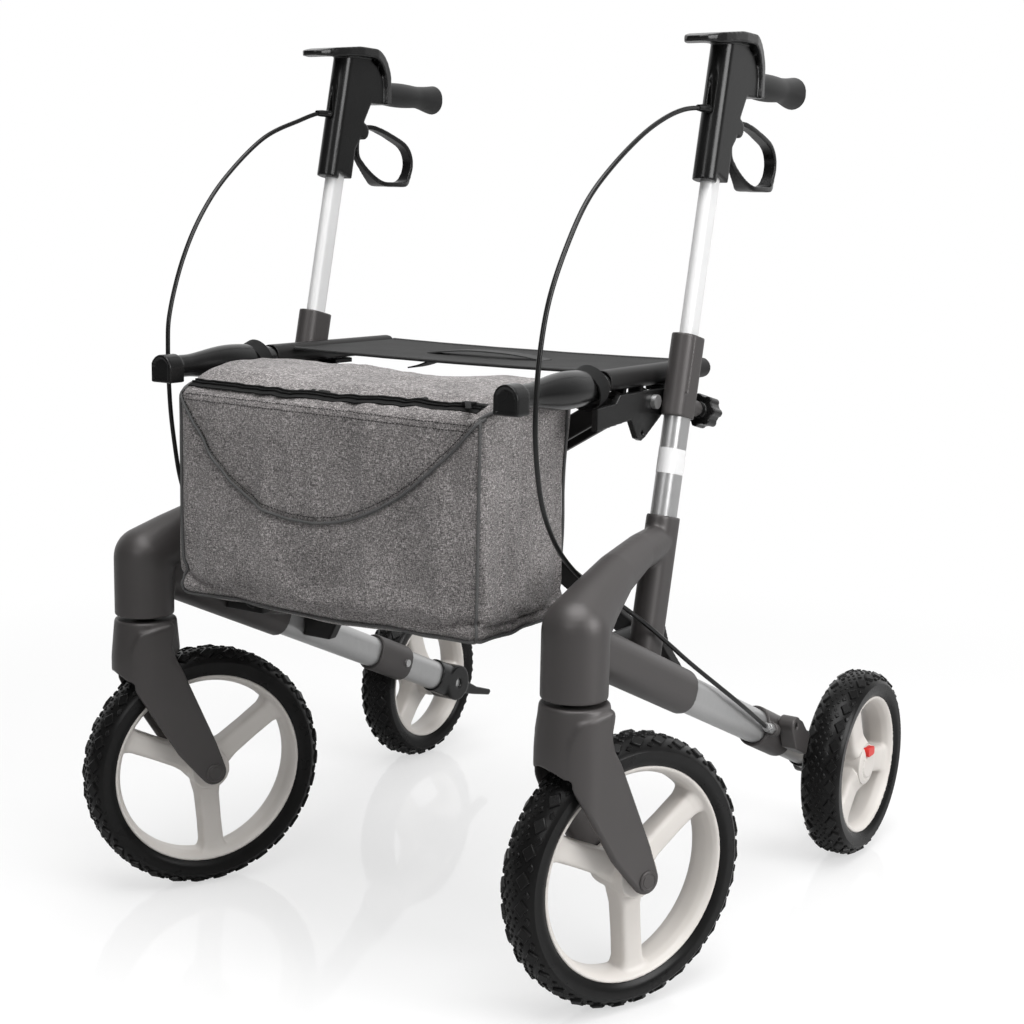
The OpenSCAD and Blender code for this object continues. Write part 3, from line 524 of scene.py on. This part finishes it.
# Wheels about their own axle, along X
acrossTurn = Matrix.Rotation(math.pi / 2, 4, "Y")
wheels = {
    "front": {"radius": 140, "seat": 111, "blocks": 31, "turn": 65, "spoke": 13.5, "hub": 23, "hubEnds": (-26, 26)},
    "rear": {"radius": 115, "seat": 85.5, "blocks": 28, "turn": 20, "spoke": 17, "hub": 25, "hubEnds": (-26, 22),
             "mound": {"face": 21.7, "fall": 7.1, "from": 15, "to": 38, "groove": 2.2, "ring": 17.5, "ringHalf": 1.2,
                       "pocket": (11, 10.6, 23.4), "floor": 17}},
}
rearSpot = (332.5, 279.5)
# Place across in mm, share of a pitch, half sizes across and along, turn, tilt, top below the crown, depth
treadBlocks = [
    (16.2, 0.0, 8.2, 10.6, 0, 30, 3.3, 8.0), (-16.2, 0.5, 8.2, 10.6, 0, -30, 3.3, 8.0),
    (8.6, 0.5, 3.4, 4.4, 0, 8, 1.0, 3.4), (-8.6, 0.0, 3.4, 4.4, 0, -8, 1.0, 3.4),
    (20.8, 0.5, 3.4, 5.2, 0, 46, 7.2, 4.4), (-20.8, 0.0, 3.4, 5.2, 0, -46, 7.2, 4.4),
    (4.4, 0.22, 2.6, 3.4, 20, 4, 0.9, 2.6), (-4.4, 0.28, 2.6, 3.4, -20, -4, 0.9, 2.6),
    (4.4, 0.78, 2.6, 3.4, -20, 4, 0.9, 2.6), (-4.4, 0.72, 2.6, 3.4, 20, -4, 0.9, 2.6),
    (0, 0.0, 2.4, 3.4, 0, 0, 0.9, 2.6), (0, 0.5, 2.4, 3.4, 0, 0, 0.9, 2.6),
]


def tyreSkin(spec):
    r, seat = spec["radius"], spec["seat"]
    half = [(seat - 0.4, 20.4), (seat + 1.4, 21.6), (seat + 4, 23.2), (seat + 8, 24.2), (r - 14, 24.6),
            (r - 11.8, 23.2), (r - 9.2, 20.4), (r - 6.6, 16.6), (r - 3.4, 11), (r - 2.1, 5)]
    profile = half + [(a, -x) for a, x in reversed(half)]
    bm = lathe(profile, 144)
    pitch = 2 * math.pi / spec["blocks"]
    for across, share, wide, long, turn, tilt, top, deep in treadBlocks:
        spot = Matrix.Rotation(pitch * share, 4, "X") @ Matrix.Translation(Vector((across, 0, r - top)) * mm)
        form = Matrix.Rotation(math.radians(tilt), 4, "Y") @ Matrix.Rotation(math.radians(turn), 4, "Z")
        size = Matrix.Diagonal((wide * mm, long * mm, deep * mm, 1)) @ Matrix.Translation((0, 0, -0.5))
        made = bmesh.ops.create_cone(bm, cap_ends=True, segments=4, radius1=1, radius2=0.82, depth=1,
                                     matrix=spot @ form @ size)["verts"]
        edges = list({e for v in made for e in v.link_edges})
        cut = bmesh.ops.bevel(bm, geom=edges, offset=0.7 * mm, offset_type="OFFSET", segments=1, profile=0.5,
                              affect="EDGES", material=-1)
        verts = {v for f in cut["faces"] for v in f.verts}
        faces = {f for v in verts for f in v.link_faces}
        block = list(verts) + list({e for f in faces for e in f.edges}) + list(faces)
        bmesh.ops.spin(bm, geom=block, cent=(0, 0, 0), axis=(1, 0, 0), angle=2 * math.pi - pitch,
                       steps=spec["blocks"] - 1, use_duplicate=True)
    return bm


def loftBar(bm, sections, turn):
    rings = []
    for i, (far, wide, thick) in enumerate(sections):
        ring = bmesh.ops.create_circle(bm, cap_ends=i in (0, len(sections) - 1), segments=20, radius=1,
                                       matrix=Matrix.Identity(4))["verts"]
        for v in ring:  # squared round: flat faces with soft edges
            x, y = (math.copysign(abs(c) ** 0.42, c) for c in v.co.xy)
            v.co = turn @ (Vector((x * thick, y * wide, far)) * mm)
        rings.append(list({e for v in ring for e in v.link_edges}))
    for first, second in zip(rings, rings[1:]):
        bmesh.ops.bridge_loops(bm, edges=first + second)


def rimSkin(spec):
    seat = spec["seat"]
    half = [(seat - 0.2, 20.4), (seat - 2.2, 20.9), (seat - 4.2, 19.6), (seat - 7.2, 15.5), (seat - 9.4, 8)]
    bm = lathe([(a, x) for a, x in half] + [(a, -x) for a, x in reversed(half)], 180)
    low, high = spec["hubEnds"]
    bmesh.ops.create_cone(bm, cap_ends=True, segments=64, radius1=spec["hub"] * mm, radius2=spec["hub"] * mm,
                          depth=(high - low) * mm,
                          matrix=Matrix.Translation(((high + low) * mm / 2, 0, 0)) @ acrossTurn)
    w = spec["spoke"]
    reach = seat - 4
    sections = [(8, w + 3, 15), (22, w + 2, 14.5), (36, w - 0.5, 13.2), (reach * 0.62, w - 1, 12.8),
                (reach - 14, w - 0.5, 13), (reach - 7, w + 2, 14), (reach - 2, w + 7, 16.5), (reach, w + 11, 18)]
    for i in range(3):
        loftBar(bm, sections, Matrix.Rotation(math.radians(spec["turn"] + 120 * i), 4, "X"))
    bmesh.ops.recalc_face_normals(bm, faces=bm.faces)
    bm = castSkin(bm, 1.3, 5)
    if "mound" in spec:  # the spokes swell up to the hub; a crescent groove is cut into it
        mound = spec["mound"]
        half, low, high = mound["pocket"]
        for v in bm.verts:
            across, up = v.co.y / mm, v.co.z / mm
            reach = math.hypot(across, up)
            if v.co.x > 2 * mm and reach < mound["to"]:
                face = mound["face"] - mound["fall"] * softStep(reach, mound["from"], mound["to"])
                if reach < spec["hub"] + 0.8:
                    v.co.x = min(v.co.x, face * mm)
                else:
                    v.co.x *= face / (mound["face"] - mound["fall"])
                if abs(reach - mound["ring"]) < mound["ringHalf"] and across < 8 and up < 9:
                    v.co.x -= mound["groove"] * mm
                if abs(across) < half and low < up < high:
                    v.co.x = min(v.co.x, mound["floor"] * mm)  # room for the release button's travel
    return bm


def wheelPlace(kind, side):
    if kind == "front":
        return casterPlace(side) @ Matrix.Translation(Vector((0, casterSpec["trail"], wheels[kind]["radius"])) * mm)
    x, y = rearSpot
    return Matrix.Translation(Vector((sideSigns[side] * x, y, wheels[kind]["radius"])) * mm)


for kind, spec in wheels.items():
    tyre = tyreSkin(spec)
    rim = rimSkin(spec)
    for side, sign in sideSigns.items():
        place = wheelPlace(kind, side)
        for shape, part in ((tyre, "tyre"), (rim, "rim")):
            copy = shape.copy()
            if kind == "rear" and sign < 0:
                flipAcross(copy)
            pieceFrom(moved(copy, place), f"{side}_{kind}_{part}_skin", f"{side}_{kind}_wheel", part,
                      [f"{side}_{kind}_{part}"], sharp=30 if part == "tyre" else None)
    tyre.free()
    rim.free()
print("wheels made")

# Brake lever: a strap bent into a closed loop, with a broad paddle below; handle's frame, in mm
leverSpec = {"origin": (253, 7.447, 920), "thick": 5.6, "voxel": 0.8, "rounds": 5, "pivot": (18, -48), "boss": 11,
             "tongue": 7.2,
             "loop": [(22, -46), (44, -42), (68, -46.5), (92, -54), (112, -62), (122.5, -73), (125, -87),
                      (118.5, -102), (108, -110), (84, -110.5), (62, -110), (47, -103), (30, -90), (19, -78),
                      (18, -62)],
             "wide": [7, 9, 12, 13, 13.5, 14, 14, 15, 21, 23.5, 22.5, 15, 9, 7.5, 7]}


def leverSkin():
    spec = leverSpec
    loop = [Vector((w, y, z)) for (y, z), w in zip(spec["loop"], spec["wide"])]
    line = smoothLine(loop[-2:] + loop + loop[:2], 5)[10:-10]
    count = len(line)
    bm = bmesh.new()
    rings = []
    for i, p in enumerate(line):
        ahead = (line[(i + 1) % count] - line[i - 1]).yz.normalized()
        side = Vector((0, ahead.y, -ahead.x)) * spec["thick"] / 2
        half = Vector((p.x / 2, 0, 0))
        centre = Vector((0, p.y, p.z))
        rings.append([bm.verts.new((centre + a * half + b * side) * mm)
                      for a, b in ((-1, -1), (1, -1), (1, 1), (-1, 1))])
    for first, second in zip(rings, rings[1:] + rings[:1]):
        for k in range(4):
            bm.faces.new((first[k], first[k - 1], second[k - 1], second[k]))
    spot = Matrix.Translation(Vector((0, *spec["pivot"])) * mm)
    bmesh.ops.create_cone(bm, cap_ends=True, segments=48, radius1=spec["boss"] * mm, radius2=spec["boss"] * mm,
                          depth=spec["tongue"] * mm, matrix=spot @ acrossTurn)
    bmesh.ops.recalc_face_normals(bm, faces=bm.faces)
    return moved(castSkin(bm, spec["voxel"], spec["rounds"]), Matrix.Translation(Vector(spec["origin"]) * mm))


pairFrom(leverSkin(), "brake_lever", "black_plastic", "lever")

# Front axle with its round caps, a fine ring groove on each
capProfile = [(0.01, -41.0), (6.6, -41.0), (7.2, -40.5), (7.9, -41.0), (9.6, -40.8), (10.5, -39.8), (10.5, -39.05),
              (5.9, -39.05), (5.9, 39.05), (10.5, 39.05), (10.5, 39.8), (9.6, 40.8), (7.9, 41.0), (7.2, 40.5),
              (6.6, 41.0), (0.01, 41.0)]
axle = lathe(capProfile, 64)
for side in sideSigns:
    pieceFrom(moved(axle.copy(), wheelPlace("front", side)), side + "_front_axle_caps", side + "_caster", "frame_coat",
              [side + "_front_axle"], sharp=25)
axle.free()

# Cable boots at the handle
boot = [(2.6, 0), (4.6, 0), (4.6, 3), (3.9, 4), (3.9, 16), (3.2, 24), (2.6, 24)]
bootTurn = Matrix.Translation(Vector((253, -26, 890)) * mm) @ Matrix.Rotation(-math.pi / 2, 4, "Z")
pairFrom(moved(lathe(boot, 40), bootTurn), "cable_boot", "black_plastic", "handle", 35, [])

# Bag: a lofted shell hung from the two arms, in mm
bagSpec = {"half": 195, "front": -355, "back": -193, "bottom": 367, "top": 604, "round": 13, "cuts": 60,
           "drawIn": 1.9, "drawReach": 11, "frames": 24, "slack": 0.03, "cap": 9, "held": (0.7, 0.95),
           "base": (-0.8, -0.97)}
bagForm = {"front": 3.5, "frontTop": 2.0, "back": 4, "backTop": 14, "side": 3.0, "sideDent": 3.5, "base": 4.5,
           "lidRise": 10, "lidFall": 13, "lidSag": 3}
clothSpec = {"quality": 6, "mass": 0.15, "tension_stiffness": 18, "compression_stiffness": 14, "shear_stiffness": 6,
             "bending_stiffness": 0.6}


def flattenWithFold(piece):
    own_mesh(piece)


def bagPoint(corner):
    b = bagSpec
    low = Vector((-b["half"], b["front"], b["bottom"]))
    high = Vector((b["half"], b["back"], b["top"]))
    p = Vector([lo + (hi - lo) * (c + 1) / 2 for lo, hi, c in zip(low, high, corner)])
    core = Vector([min(max(c, lo + b["round"]), hi - b["round"]) for c, lo, hi in zip(p, low, high)])
    out = (p - core).normalized()
    p = core + out * b["round"]
    u = p.x / b["half"]
    v = (p.y - (b["front"] + b["back"]) / 2) / ((b["back"] - b["front"]) / 2)
    w = (p.z - (b["bottom"] + b["top"]) / 2) / ((b["top"] - b["bottom"]) / 2)
    f = bagForm
    domeU, domeV, domeW = 1 - u * u, 1 - v * v, 1 - w * w
    if out.y < -0.5:
        p.y -= f["front"] * domeU * domeW - f["frontTop"] * softStep(w, 0.55, 0.95) * domeU
    if out.y > 0.5:
        p.y += f["back"] * domeU * domeW + f["backTop"] * softStep(w, 0.1, 0.95) * softStep(abs(u), 0.2, 0.9)
    dent = softStep(w, -0.4, 0.3) * softStep(0.75 - w, 0, 0.6)
    p.x += out.x * (f["side"] * domeV * domeW - f["sideDent"] * dent * domeV)
    if out.z < -0.3:
        p.z -= f["base"] * domeU * (0.35 + domeV)
    lid = f["lidRise"] * softStep(v, -0.9, 0.1) - f["lidFall"] * softStep(-v, 0.45, 1.0) - f["lidSag"] * domeU ** 2
    p.z += softStep(w, 0.7, 1.0) * lid
    ripple = noise.noise((p.x / 75, p.y / 60, p.z / 110)) * 4.4 + noise.noise((p.x / 30, p.y / 28, p.z / 46 + 7)) * 2.0
    pull = noise.noise((p.x / 17, p.y / 17, p.z / 40 + 3)) * 1.9 * softStep(w, 0.3, 0.95)
    p += out * (ripple + pull) * (0.35 + 0.65 * max(domeU, domeV))
    return p * mm


def bagShell():
    bm = bmesh.new()
    bmesh.ops.create_cube(bm, size=2)
    bmesh.ops.subdivide_edges(bm, edges=bm.edges, cuts=bagSpec["cuts"], use_grid_fill=True)
    for v in bm.verts:
        v.co = bagPoint(v.co)
    bmesh.ops.recalc_face_normals(bm, faces=bm.faces)
    return bm


def drapeBag(bm):
    b = bagSpec
    mesh = bpy.data.meshes.new("drape")
    bm.to_mesh(mesh)
    bm.free()
    holder = bpy.data.objects.new("drape", mesh)
    scene.collection.objects.link(holder)
    pins = holder.vertex_groups.new(name="held")
    middle, tall = (b["top"] + b["bottom"]) / 2, (b["top"] - b["bottom"]) / 2
    for v in mesh.vertices:
        w = (v.co.z / mm - middle) / tall
        pins.add([v.index], max(softStep(w, *b["held"]), softStep(-w, *(-k for k in b["base"]))), "REPLACE")
    cloth = holder.modifiers.new("cloth", "CLOTH")
    for key, value in clothSpec.items():
        setattr(cloth.settings, key, value)
    cloth.settings.shrink_min = -b["slack"]
    cloth.settings.vertex_group_mass = "held"
    cloth.settings.effector_weights.gravity = 0.8
    cloth.point_cache.frame_start = 1
    cloth.point_cache.frame_end = b["frames"]
    for number in range(1, b["frames"] + 1):
        scene.frame_set(number)
    result = bmesh.new()
    result.from_object(holder, bpy.context.evaluated_depsgraph_get())
    for v, start in zip(result.verts, mesh.vertices):
        step = v.co - start.co
        v.co = start.co + step * min(1, b["cap"] * mm / max(step.length, 1e-9))
    scene.frame_set(1)
    bpy.data.objects.remove(holder)
    bpy.data.meshes.remove(mesh)
    bmesh.ops.smooth_vert(result, verts=result.verts, factor=0.5, use_axis_x=True, use_axis_y=True, use_axis_z=True)
    return result


shell = bagShell()
shell = drapeBag(shell)
bagTree = BVHTree.FromBMesh(shell)


castFrom = 0.08  # metres that a ray starts before its point, outside the bag


def onBag(points, towards, lift):
    line = []
    way = Vector(towards).normalized()
    for p in points:
        spot, normal, _, _ = bagTree.ray_cast(Vector(p) * mm - way * castFrom, way)
        line.append(spot + normal * lift * mm)
    return line


def between(first, second, count):
    return [Vector(first).lerp(Vector(second), i / (count - 1)) for i in range(count)]


def stitchRow(bm, line, step, size):
    run = 0.0
    for a, b in zip(line, line[1:]):
        run += (b - a).length
        if run >= step * mm:
            run = 0.0
            turn = (b - a).to_track_quat("X", "Z").to_matrix().to_4x4()
            form = Matrix.Translation((a + b) / 2) @ turn @ Matrix.Diagonal((size * mm, 0.75 * mm, 0.6 * mm, 1))
            bmesh.ops.create_cube(bm, size=1, matrix=form)


def joined(parts):
    bm = bmesh.new()
    for part in parts:
        mesh = bpy.data.meshes.new("part")
        part.to_mesh(mesh)
        part.free()
        bm.from_mesh(mesh)
        bpy.data.meshes.remove(mesh)
    return bm


def ribbon(line, across, width, thick):
    bm = bmesh.new()
    rows = []
    for i, p in enumerate(line):
        ahead = (line[min(i + 1, len(line) - 1)] - line[max(i - 1, 0)]).normalized()
        side = Vector(across)
        side = (side - ahead * side.dot(ahead)).normalized() * width * mm / 2
        rows.append([bm.verts.new(p - side), bm.verts.new(p + side)])
    for (a, b), (c, d) in zip(rows, rows[1:]):
        bm.faces.new((a, b, d, c))
    bmesh.ops.recalc_face_normals(bm, faces=bm.faces)
    bmesh.ops.solidify(bm, geom=bm.faces, thickness=thick * mm)
    bmesh.ops.recalc_face_normals(bm, faces=bm.faces)
    return bm


# The flap's line on the front: its lowest point, then reach and bend to the left and to the right
flapSpec = {"middle": -10, "low": 467, "rise": 121, "left": (203, 1.9), "right": (183, 2.5), "ahead": -400}


def flapPoints(count):
    points = []
    for i in range(count):
        t = 2 * i / (count - 1) - 1
        reach, bend = flapSpec["left" if t > 0 else "right"]
        height = flapSpec["low"] + flapSpec["rise"] * abs(t) ** bend
        points.append((flapSpec["middle"] + reach * t, flapSpec["ahead"], height))
    return points


# Seams along the bag's edges: both ends in mm, points, and the way that they are cast onto the shell
seamEdge = 191
sideSeams = [((-351, 588), (-351, 372), 70, (1, 0)), ((-197, 590), (-197, 372), 60, (-1, 0)),
             ((-350, 371), (-198, 371), 50, (0, 1)), ((-349, 590), (-199, 600), 50, (0, -1))]
baseSeams = [(-351, (0, 1, 1)), (-197, (0, -1, 1))]
seams = []
for sign in (1, -1):
    for first, second, count, way in sideSeams:
        ends = ((sign * seamEdge, *first), (sign * seamEdge, *second))
        seams.append(onBag(between(*ends, count), (-sign, *way), 0))
for y, way in baseSeams:
    seams.append(onBag(between((-188, y, 371), (188, y, 371), 110), way, 0))
seams.append(onBag(flapPoints(150), (0, 1, 0), 0))


def drawSeams(bm):
    spots = [p for line in seams for p in line]
    tree = KDTree(len(spots))
    for i, p in enumerate(spots):
        tree.insert(p, i)
    tree.balance()
    bm.normal_update()
    moves = []
    for v in bm.verts:
        far = tree.find(v.co)[2] / mm
        depth = bagSpec["drawIn"] * (1 - softStep(far, 0, bagSpec["drawReach"]))
        moves.append((v, v.co - v.normal * depth * mm))
    for v, spot in moves:
        v.co = spot


drawSeams(shell)
bag = pieceFrom(shell, "bag_shell", "left_rail", "bag_cloth", ["bag"], sharp=None)
flattenWithFold(bag)
pipingRadius = 1.6 * mm
piping = pieceFrom(joined([tubeAlong(line, pipingRadius, "piping") for line in seams]), "bag_piping",
                   "left_rail", "bag_cloth", finish=pipingCloth)
flattenWithFold(piping)

stitchSpec = {"step": 3.4, "size": 2.2, "lift": 0.1, "rows": (575, 581), "aboveFlap": 5.5}
stitchLines = [between((-184, -400, height + 4), (186, -400, height), 700) for height in stitchSpec["rows"]]
stitchLines.append([(x, y, z + stitchSpec["aboveFlap"]) for x, y, z in flapPoints(800)])
thread = bmesh.new()
for line in stitchLines:
    stitchRow(thread, onBag(line, (0, 1, 0), stitchSpec["lift"]), stitchSpec["step"], stitchSpec["size"])
stitches = pieceFrom(thread, "bag_stitches", "left_rail", "bag_cloth", finish=zipTape)
flattenWithFold(stitches)

zipSpec = {"y": -337, "wave": 3, "half": 184, "slope": 0.35, "wide": 20, "thick": 1.1, "coil": 1.3, "coilShift": 2.4}
zipSpots = range(-zipSpec["half"], zipSpec["half"] + 1, 4)
zipLine = onBag([(x, zipSpec["y"] + zipSpec["wave"] * math.sin(x / 60), 700) for x in zipSpots], (0, 0, -1), 0.5)
zipParts = [ribbon(zipLine, (0, 1, zipSpec["slope"]), zipSpec["wide"], zipSpec["thick"])]
for shift in (-zipSpec["coilShift"], zipSpec["coilShift"]):
    coilLine = [p + Vector((0, shift, 0.9 + zipSpec["slope"] * shift)) * mm for p in zipLine]
    zipParts.append(tubeAlong(coilLine, zipSpec["coil"] * mm, "coil", sides=1))
zipper = pieceFrom(joined(zipParts), "bag_zip", "left_rail", "bag_cloth", finish=zipTape)
flattenWithFold(zipper)
slider = bmesh.new()
bmesh.ops.create_cube(slider, size=1, matrix=Matrix.Translation(zipLine[-5] + Vector((0, 0, 2.4 * mm)))
                      @ Matrix.Diagonal((13 * mm, 9 * mm, 4.6 * mm, 1)))
bmesh.ops.bevel(slider, geom=slider.edges, offset=1.3 * mm, offset_type="OFFSET", segments=3, profile=0.5,
                affect="EDGES", material=-1)
pullLine = [zipLine[-5] + Vector((-2 + 1.2 * i, -1.6 * i, 5 - 0.022 * i * i)) * mm for i in range(14)]
slider = joined([slider, ribbon(pullLine, (0.8, 0.6, 0), 5.5, 1.2)])
zipSlider = pieceFrom(slider, "bag_zip_slider", "left_rail", "bag_cloth", finish=zipTape)
flattenWithFold(zipSlider)

# Webbing loops over the bag arms
loopSpec = {"centre": (219, -203, 608), "wide": 21.0, "tall": 20.6, "lean": 0.35, "width": 17}
for side, sign in sideSigns.items():
    loop = []
    for i in range(49):
        a = 2 * math.pi * i / 48
        x, z = loopSpec["wide"] * math.cos(a), loopSpec["tall"] * math.sin(a)
        spot = Vector((sign * (loopSpec["centre"][0] + x), loopSpec["centre"][1] - loopSpec["lean"] * z,
                       loopSpec["centre"][2] + z))
        loop.append(spot * mm)
    pieceFrom(ribbon(loop, (0, 1, loopSpec["lean"]), loopSpec["width"], 1.5), side + "_arm_webbing", side + "_rail",
              "seat_cloth", finish=zipTape)
print("bag made")

# Seat: a stretched sheet between the rails, in mm
seatSpec = {"half": 205.7, "front": -150, "back": 42, "top": 620, "sag": 3.0, "thick": 1.6}


def seatHeight(x, y):
    s = seatSpec
    u = x / s["half"]
    v = (2 * y - s["front"] - s["back"]) / (s["back"] - s["front"])
    return s["top"] - s["sag"] * (1 - u * u) * (1 - 0.4 * v * v) + 0.25 * noise.noise((x / 40, y / 30, 0))


def seatSheet():
    s = seatSpec
    bm = bmesh.new()
    bmesh.ops.create_grid(bm, x_segments=90, y_segments=44, size=1)
    for v in bm.verts:
        x = v.co.x * s["half"]
        y = s["front"] + (s["back"] - s["front"]) * (v.co.y + 1) / 2
        v.co = Vector((x, y, seatHeight(x, y))) * mm
    bmesh.ops.solidify(bm, geom=bm.faces, thickness=s["thick"] * mm)
    bmesh.ops.recalc_face_normals(bm, faces=bm.faces)
    return bm


seat = pieceFrom(seatSheet(), "seat_sheet", "left_rail", "seat_cloth", ["seat_fabric"], sharp=30)
hems = []
for y in (seatSpec["front"] + 2, seatSpec["back"] - 2):
    line = [Vector((x, y, seatHeight(x, y) - 0.6)) * mm for x in range(-204, 205, 6)]
    hems.append(tubeAlong(line, 2.1 * mm, "hem", sides=2))
hem = pieceFrom(joined(hems), "seat_hems", "left_rail", "seat_cloth", finish=hemTape)
strapSpec = {"from": (-72, -62), "run": (151, 8), "lift": 0.6, "bow": 6.5, "wide": 22, "thick": 1.4}
strapLine = []
for t in (i / 39 for i in range(40)):
    x, y = (start + run * t for start, run in zip(strapSpec["from"], strapSpec["run"]))
    height = seatHeight(x, y) + strapSpec["lift"] + strapSpec["bow"] * math.sin(math.pi * t) ** 0.8
    strapLine.append(Vector((x, y, height)) * mm)
pullStrap = pieceFrom(ribbon(strapLine, (0, 1, 0), strapSpec["wide"], strapSpec["thick"]), "seat_pull_strap",
                      "left_rail", "seat_cloth", finish=hemTape)
underLine = [Vector((-62 - 45 * t, -47, 616.5 - 18 * t - 2.5 * math.sin(math.pi * t))) * mm
             for t in (i / 20 for i in range(21))]
underStrap = pieceFrom(ribbon(underLine, (0, 1, 0), 30, 1.6), "seat_under_strap", "left_rail", "seat_cloth",
                       finish=zipTape)
for piece in (seat, hem, pullStrap, underStrap):
    flattenWithFold(piece)
print("seat made")

# Grips and small pieces
gripSpec = {"voxel": 0.9, "rounds": 6, "start": 85, "length": 112, "centre": 920, "heel": 3.2}
grip = castSkin(mergedCopy("left_grip"), gripSpec["voxel"], gripSpec["rounds"])
for v in grip.verts:  # the rubber ends in a heel that bulges downwards
    t = (v.co.y / mm - gripSpec["start"]) / gripSpec["length"]
    if v.co.z < gripSpec["centre"] * mm:
        v.co.z -= gripSpec["heel"] * mm * softStep(t, 0.55, 0.86) * (1 - softStep(t, 0.9, 1.05))
pairFrom(grip, "grip", "grip_rubber", "handle")
buttonSpec = {"voxel": 0.45, "rounds": 12, "scale": (1, 0.9, 0.84, 1)}
button = castSkin(mergedCopy("left_release_button"), buttonSpec["voxel"], buttonSpec["rounds"])
middle = sum((v.co for v in button.verts), Vector()) / len(button.verts)
moved(button, Matrix.Translation(middle) @ Matrix.Diagonal(buttonSpec["scale"]) @ Matrix.Translation(-middle))
pairFrom(button, "release_button", "red_button", "button")
for part, voxel, rounds in (("seat_rail", 1.2, 4), ("pivot_bracket", 1.1, 3)):
    pairFrom(castSkin(mergedCopy("left_" + part), voxel, rounds), part, "black_bars",
             "rail" if part == "seat_rail" else "frame")
for part in ("cross_arm_a", "cross_arm_b"):
    pieceFrom(castSkin(mergedCopy(part), 1.3, 4), part + "_skin", part.replace("arm_", ""), "black_bars", [part],
              sharp=None)
# A plain band round the left upright, cut from the tube's own form
labelSpec = {"low": 511, "high": 537, "lean": (0, 0.219, 0.9757), "lift": 0.3}


def labelBand():
    bm = mergedCopy("left_upright_tube")
    way = Vector(labelSpec["lean"])
    for height, keepAbove in ((labelSpec["low"], True), (labelSpec["high"], False)):
        spot = Vector((0, collarSpot["y"] + (height - collarSpot["z"]) * handleSpec["lean"], height)) * mm
        bmesh.ops.bisect_plane(bm, geom=list(bm.verts) + list(bm.edges) + list(bm.faces), plane_co=spot, plane_no=way,
                               clear_inner=keepAbove, clear_outer=not keepAbove)
    middle = sum((v.co for v in bm.verts), Vector()) / len(bm.verts)
    bm.normal_update()
    walls = [f for f in bm.faces if f.normal.dot(f.calc_center_median() - middle) < 0]
    bmesh.ops.delete(bm, geom=walls, context="FACES")
    bm.normal_update()
    for v in bm.verts:
        v.co += v.normal * labelSpec["lift"] * mm
    return bm


pieceFrom(labelBand(), "plain_label", "left_frame", "silver_tube", finish=labelFilm, sharp=40)
print("small pieces made")


def softLamp(name, place, target, size, watts):
    data = bpy.data.lights.new(name, "AREA")
    data.shape = "DISK"
    data.size = size
    data.energy = watts
    lamp = bpy.data.objects.new(name, data)
    lamp.location = place
    lamp.rotation_euler = (Vector(target) - Vector(place)).to_track_quat("-Z", "Y").to_euler()
    lamp.visible_camera = False
    scene.collection.objects.link(lamp)
    return lamp


def whiteWorld(front, behind):
    f = Finish("studioWhite", bpy.data.worlds)
    scene.world = f.material
    seen = f.add("LightPath", out=0)
    way = f.add("TexCoord", out=0)
    azimuth = math.radians(photoView["azimuth"])
    ahead = (-math.sin(azimuth), math.cos(azimuth), 0.1)
    facing = f.add("VectorMath", {"operation": "DOT_PRODUCT"}, {0: way, 1: ahead}, out=1)
    share = f.add("MapRange", {"interpolation_type": "SMOOTHSTEP"}, {"Value": facing, "From Min": 0.1, "From Max": 0.8})
    level = f.mix(share, grey(front), grey(behind))
    studio = f.add("Background", sockets={"Color": level, "Strength": 1.0})
    white = f.add("Background", sockets={"Color": (1, 1, 1, 1), "Strength": 1.0})
    f.add("OutputWorld", sockets={"Surface": f.add("MixShader", sockets={0: seen, 1: studio, 2: white})})


def paleFloor():
    f = Finish("paleFloor")
    cloud = f.grain(3, 2)
    seen = f.add("LightPath", out=0)
    colour = f.mix(seen, grey(0.52), grey(0.88))
    matte = f.add("BsdfPrincipled", sockets={"Base Color": colour, "Roughness": 0.03 + cloud * 0.03})
    spot = f.add("TexCoord", out=objectSpot)
    away = f.add("VectorMath", {"operation": "LENGTH"}, {0: spot}, out=1)
    share = f.add("MapRange", {"interpolation_type": "SMOOTHSTEP"}, {
        "Value": away, "From Min": 0.75, "From Max": 1.7, "To Min": 0.58}) * seen
    glow = f.add("Emission", sockets={"Color": (1, 1, 1, 1), "Strength": 1.0})
    f.add("OutputMaterial", sockets={"Surface": f.add("MixShader", sockets={0: share, 1: matte, 2: glow})})
    bm = bmesh.new()
    bmesh.ops.create_grid(bm, x_segments=1, y_segments=1, size=30)
    mesh = bpy.data.meshes.new("floor")
    bm.to_mesh(mesh)
    bm.free()
    mesh.materials.append(f.material)
    floor = bpy.data.objects.new("floor", mesh)
    scene.collection.objects.link(floor)
    return floor


whiteWorld(0.10, 0.95)
paleFloor()
softLamp("topLamp", (0.6, -0.7, 3.0), (0, -0.1, 0.3), 2.8, 100)
softLamp("sideLamp", (3.0, 0.1, 1.5), (0, 0, 0.5), 1.8, 64)
softLamp("frontLamp", (0.7, -3.2, 1.9), (0, 0, 0.5), 1.2, 15)
print("floor and lights set")

scene.view_settings.view_transform = "Standard"
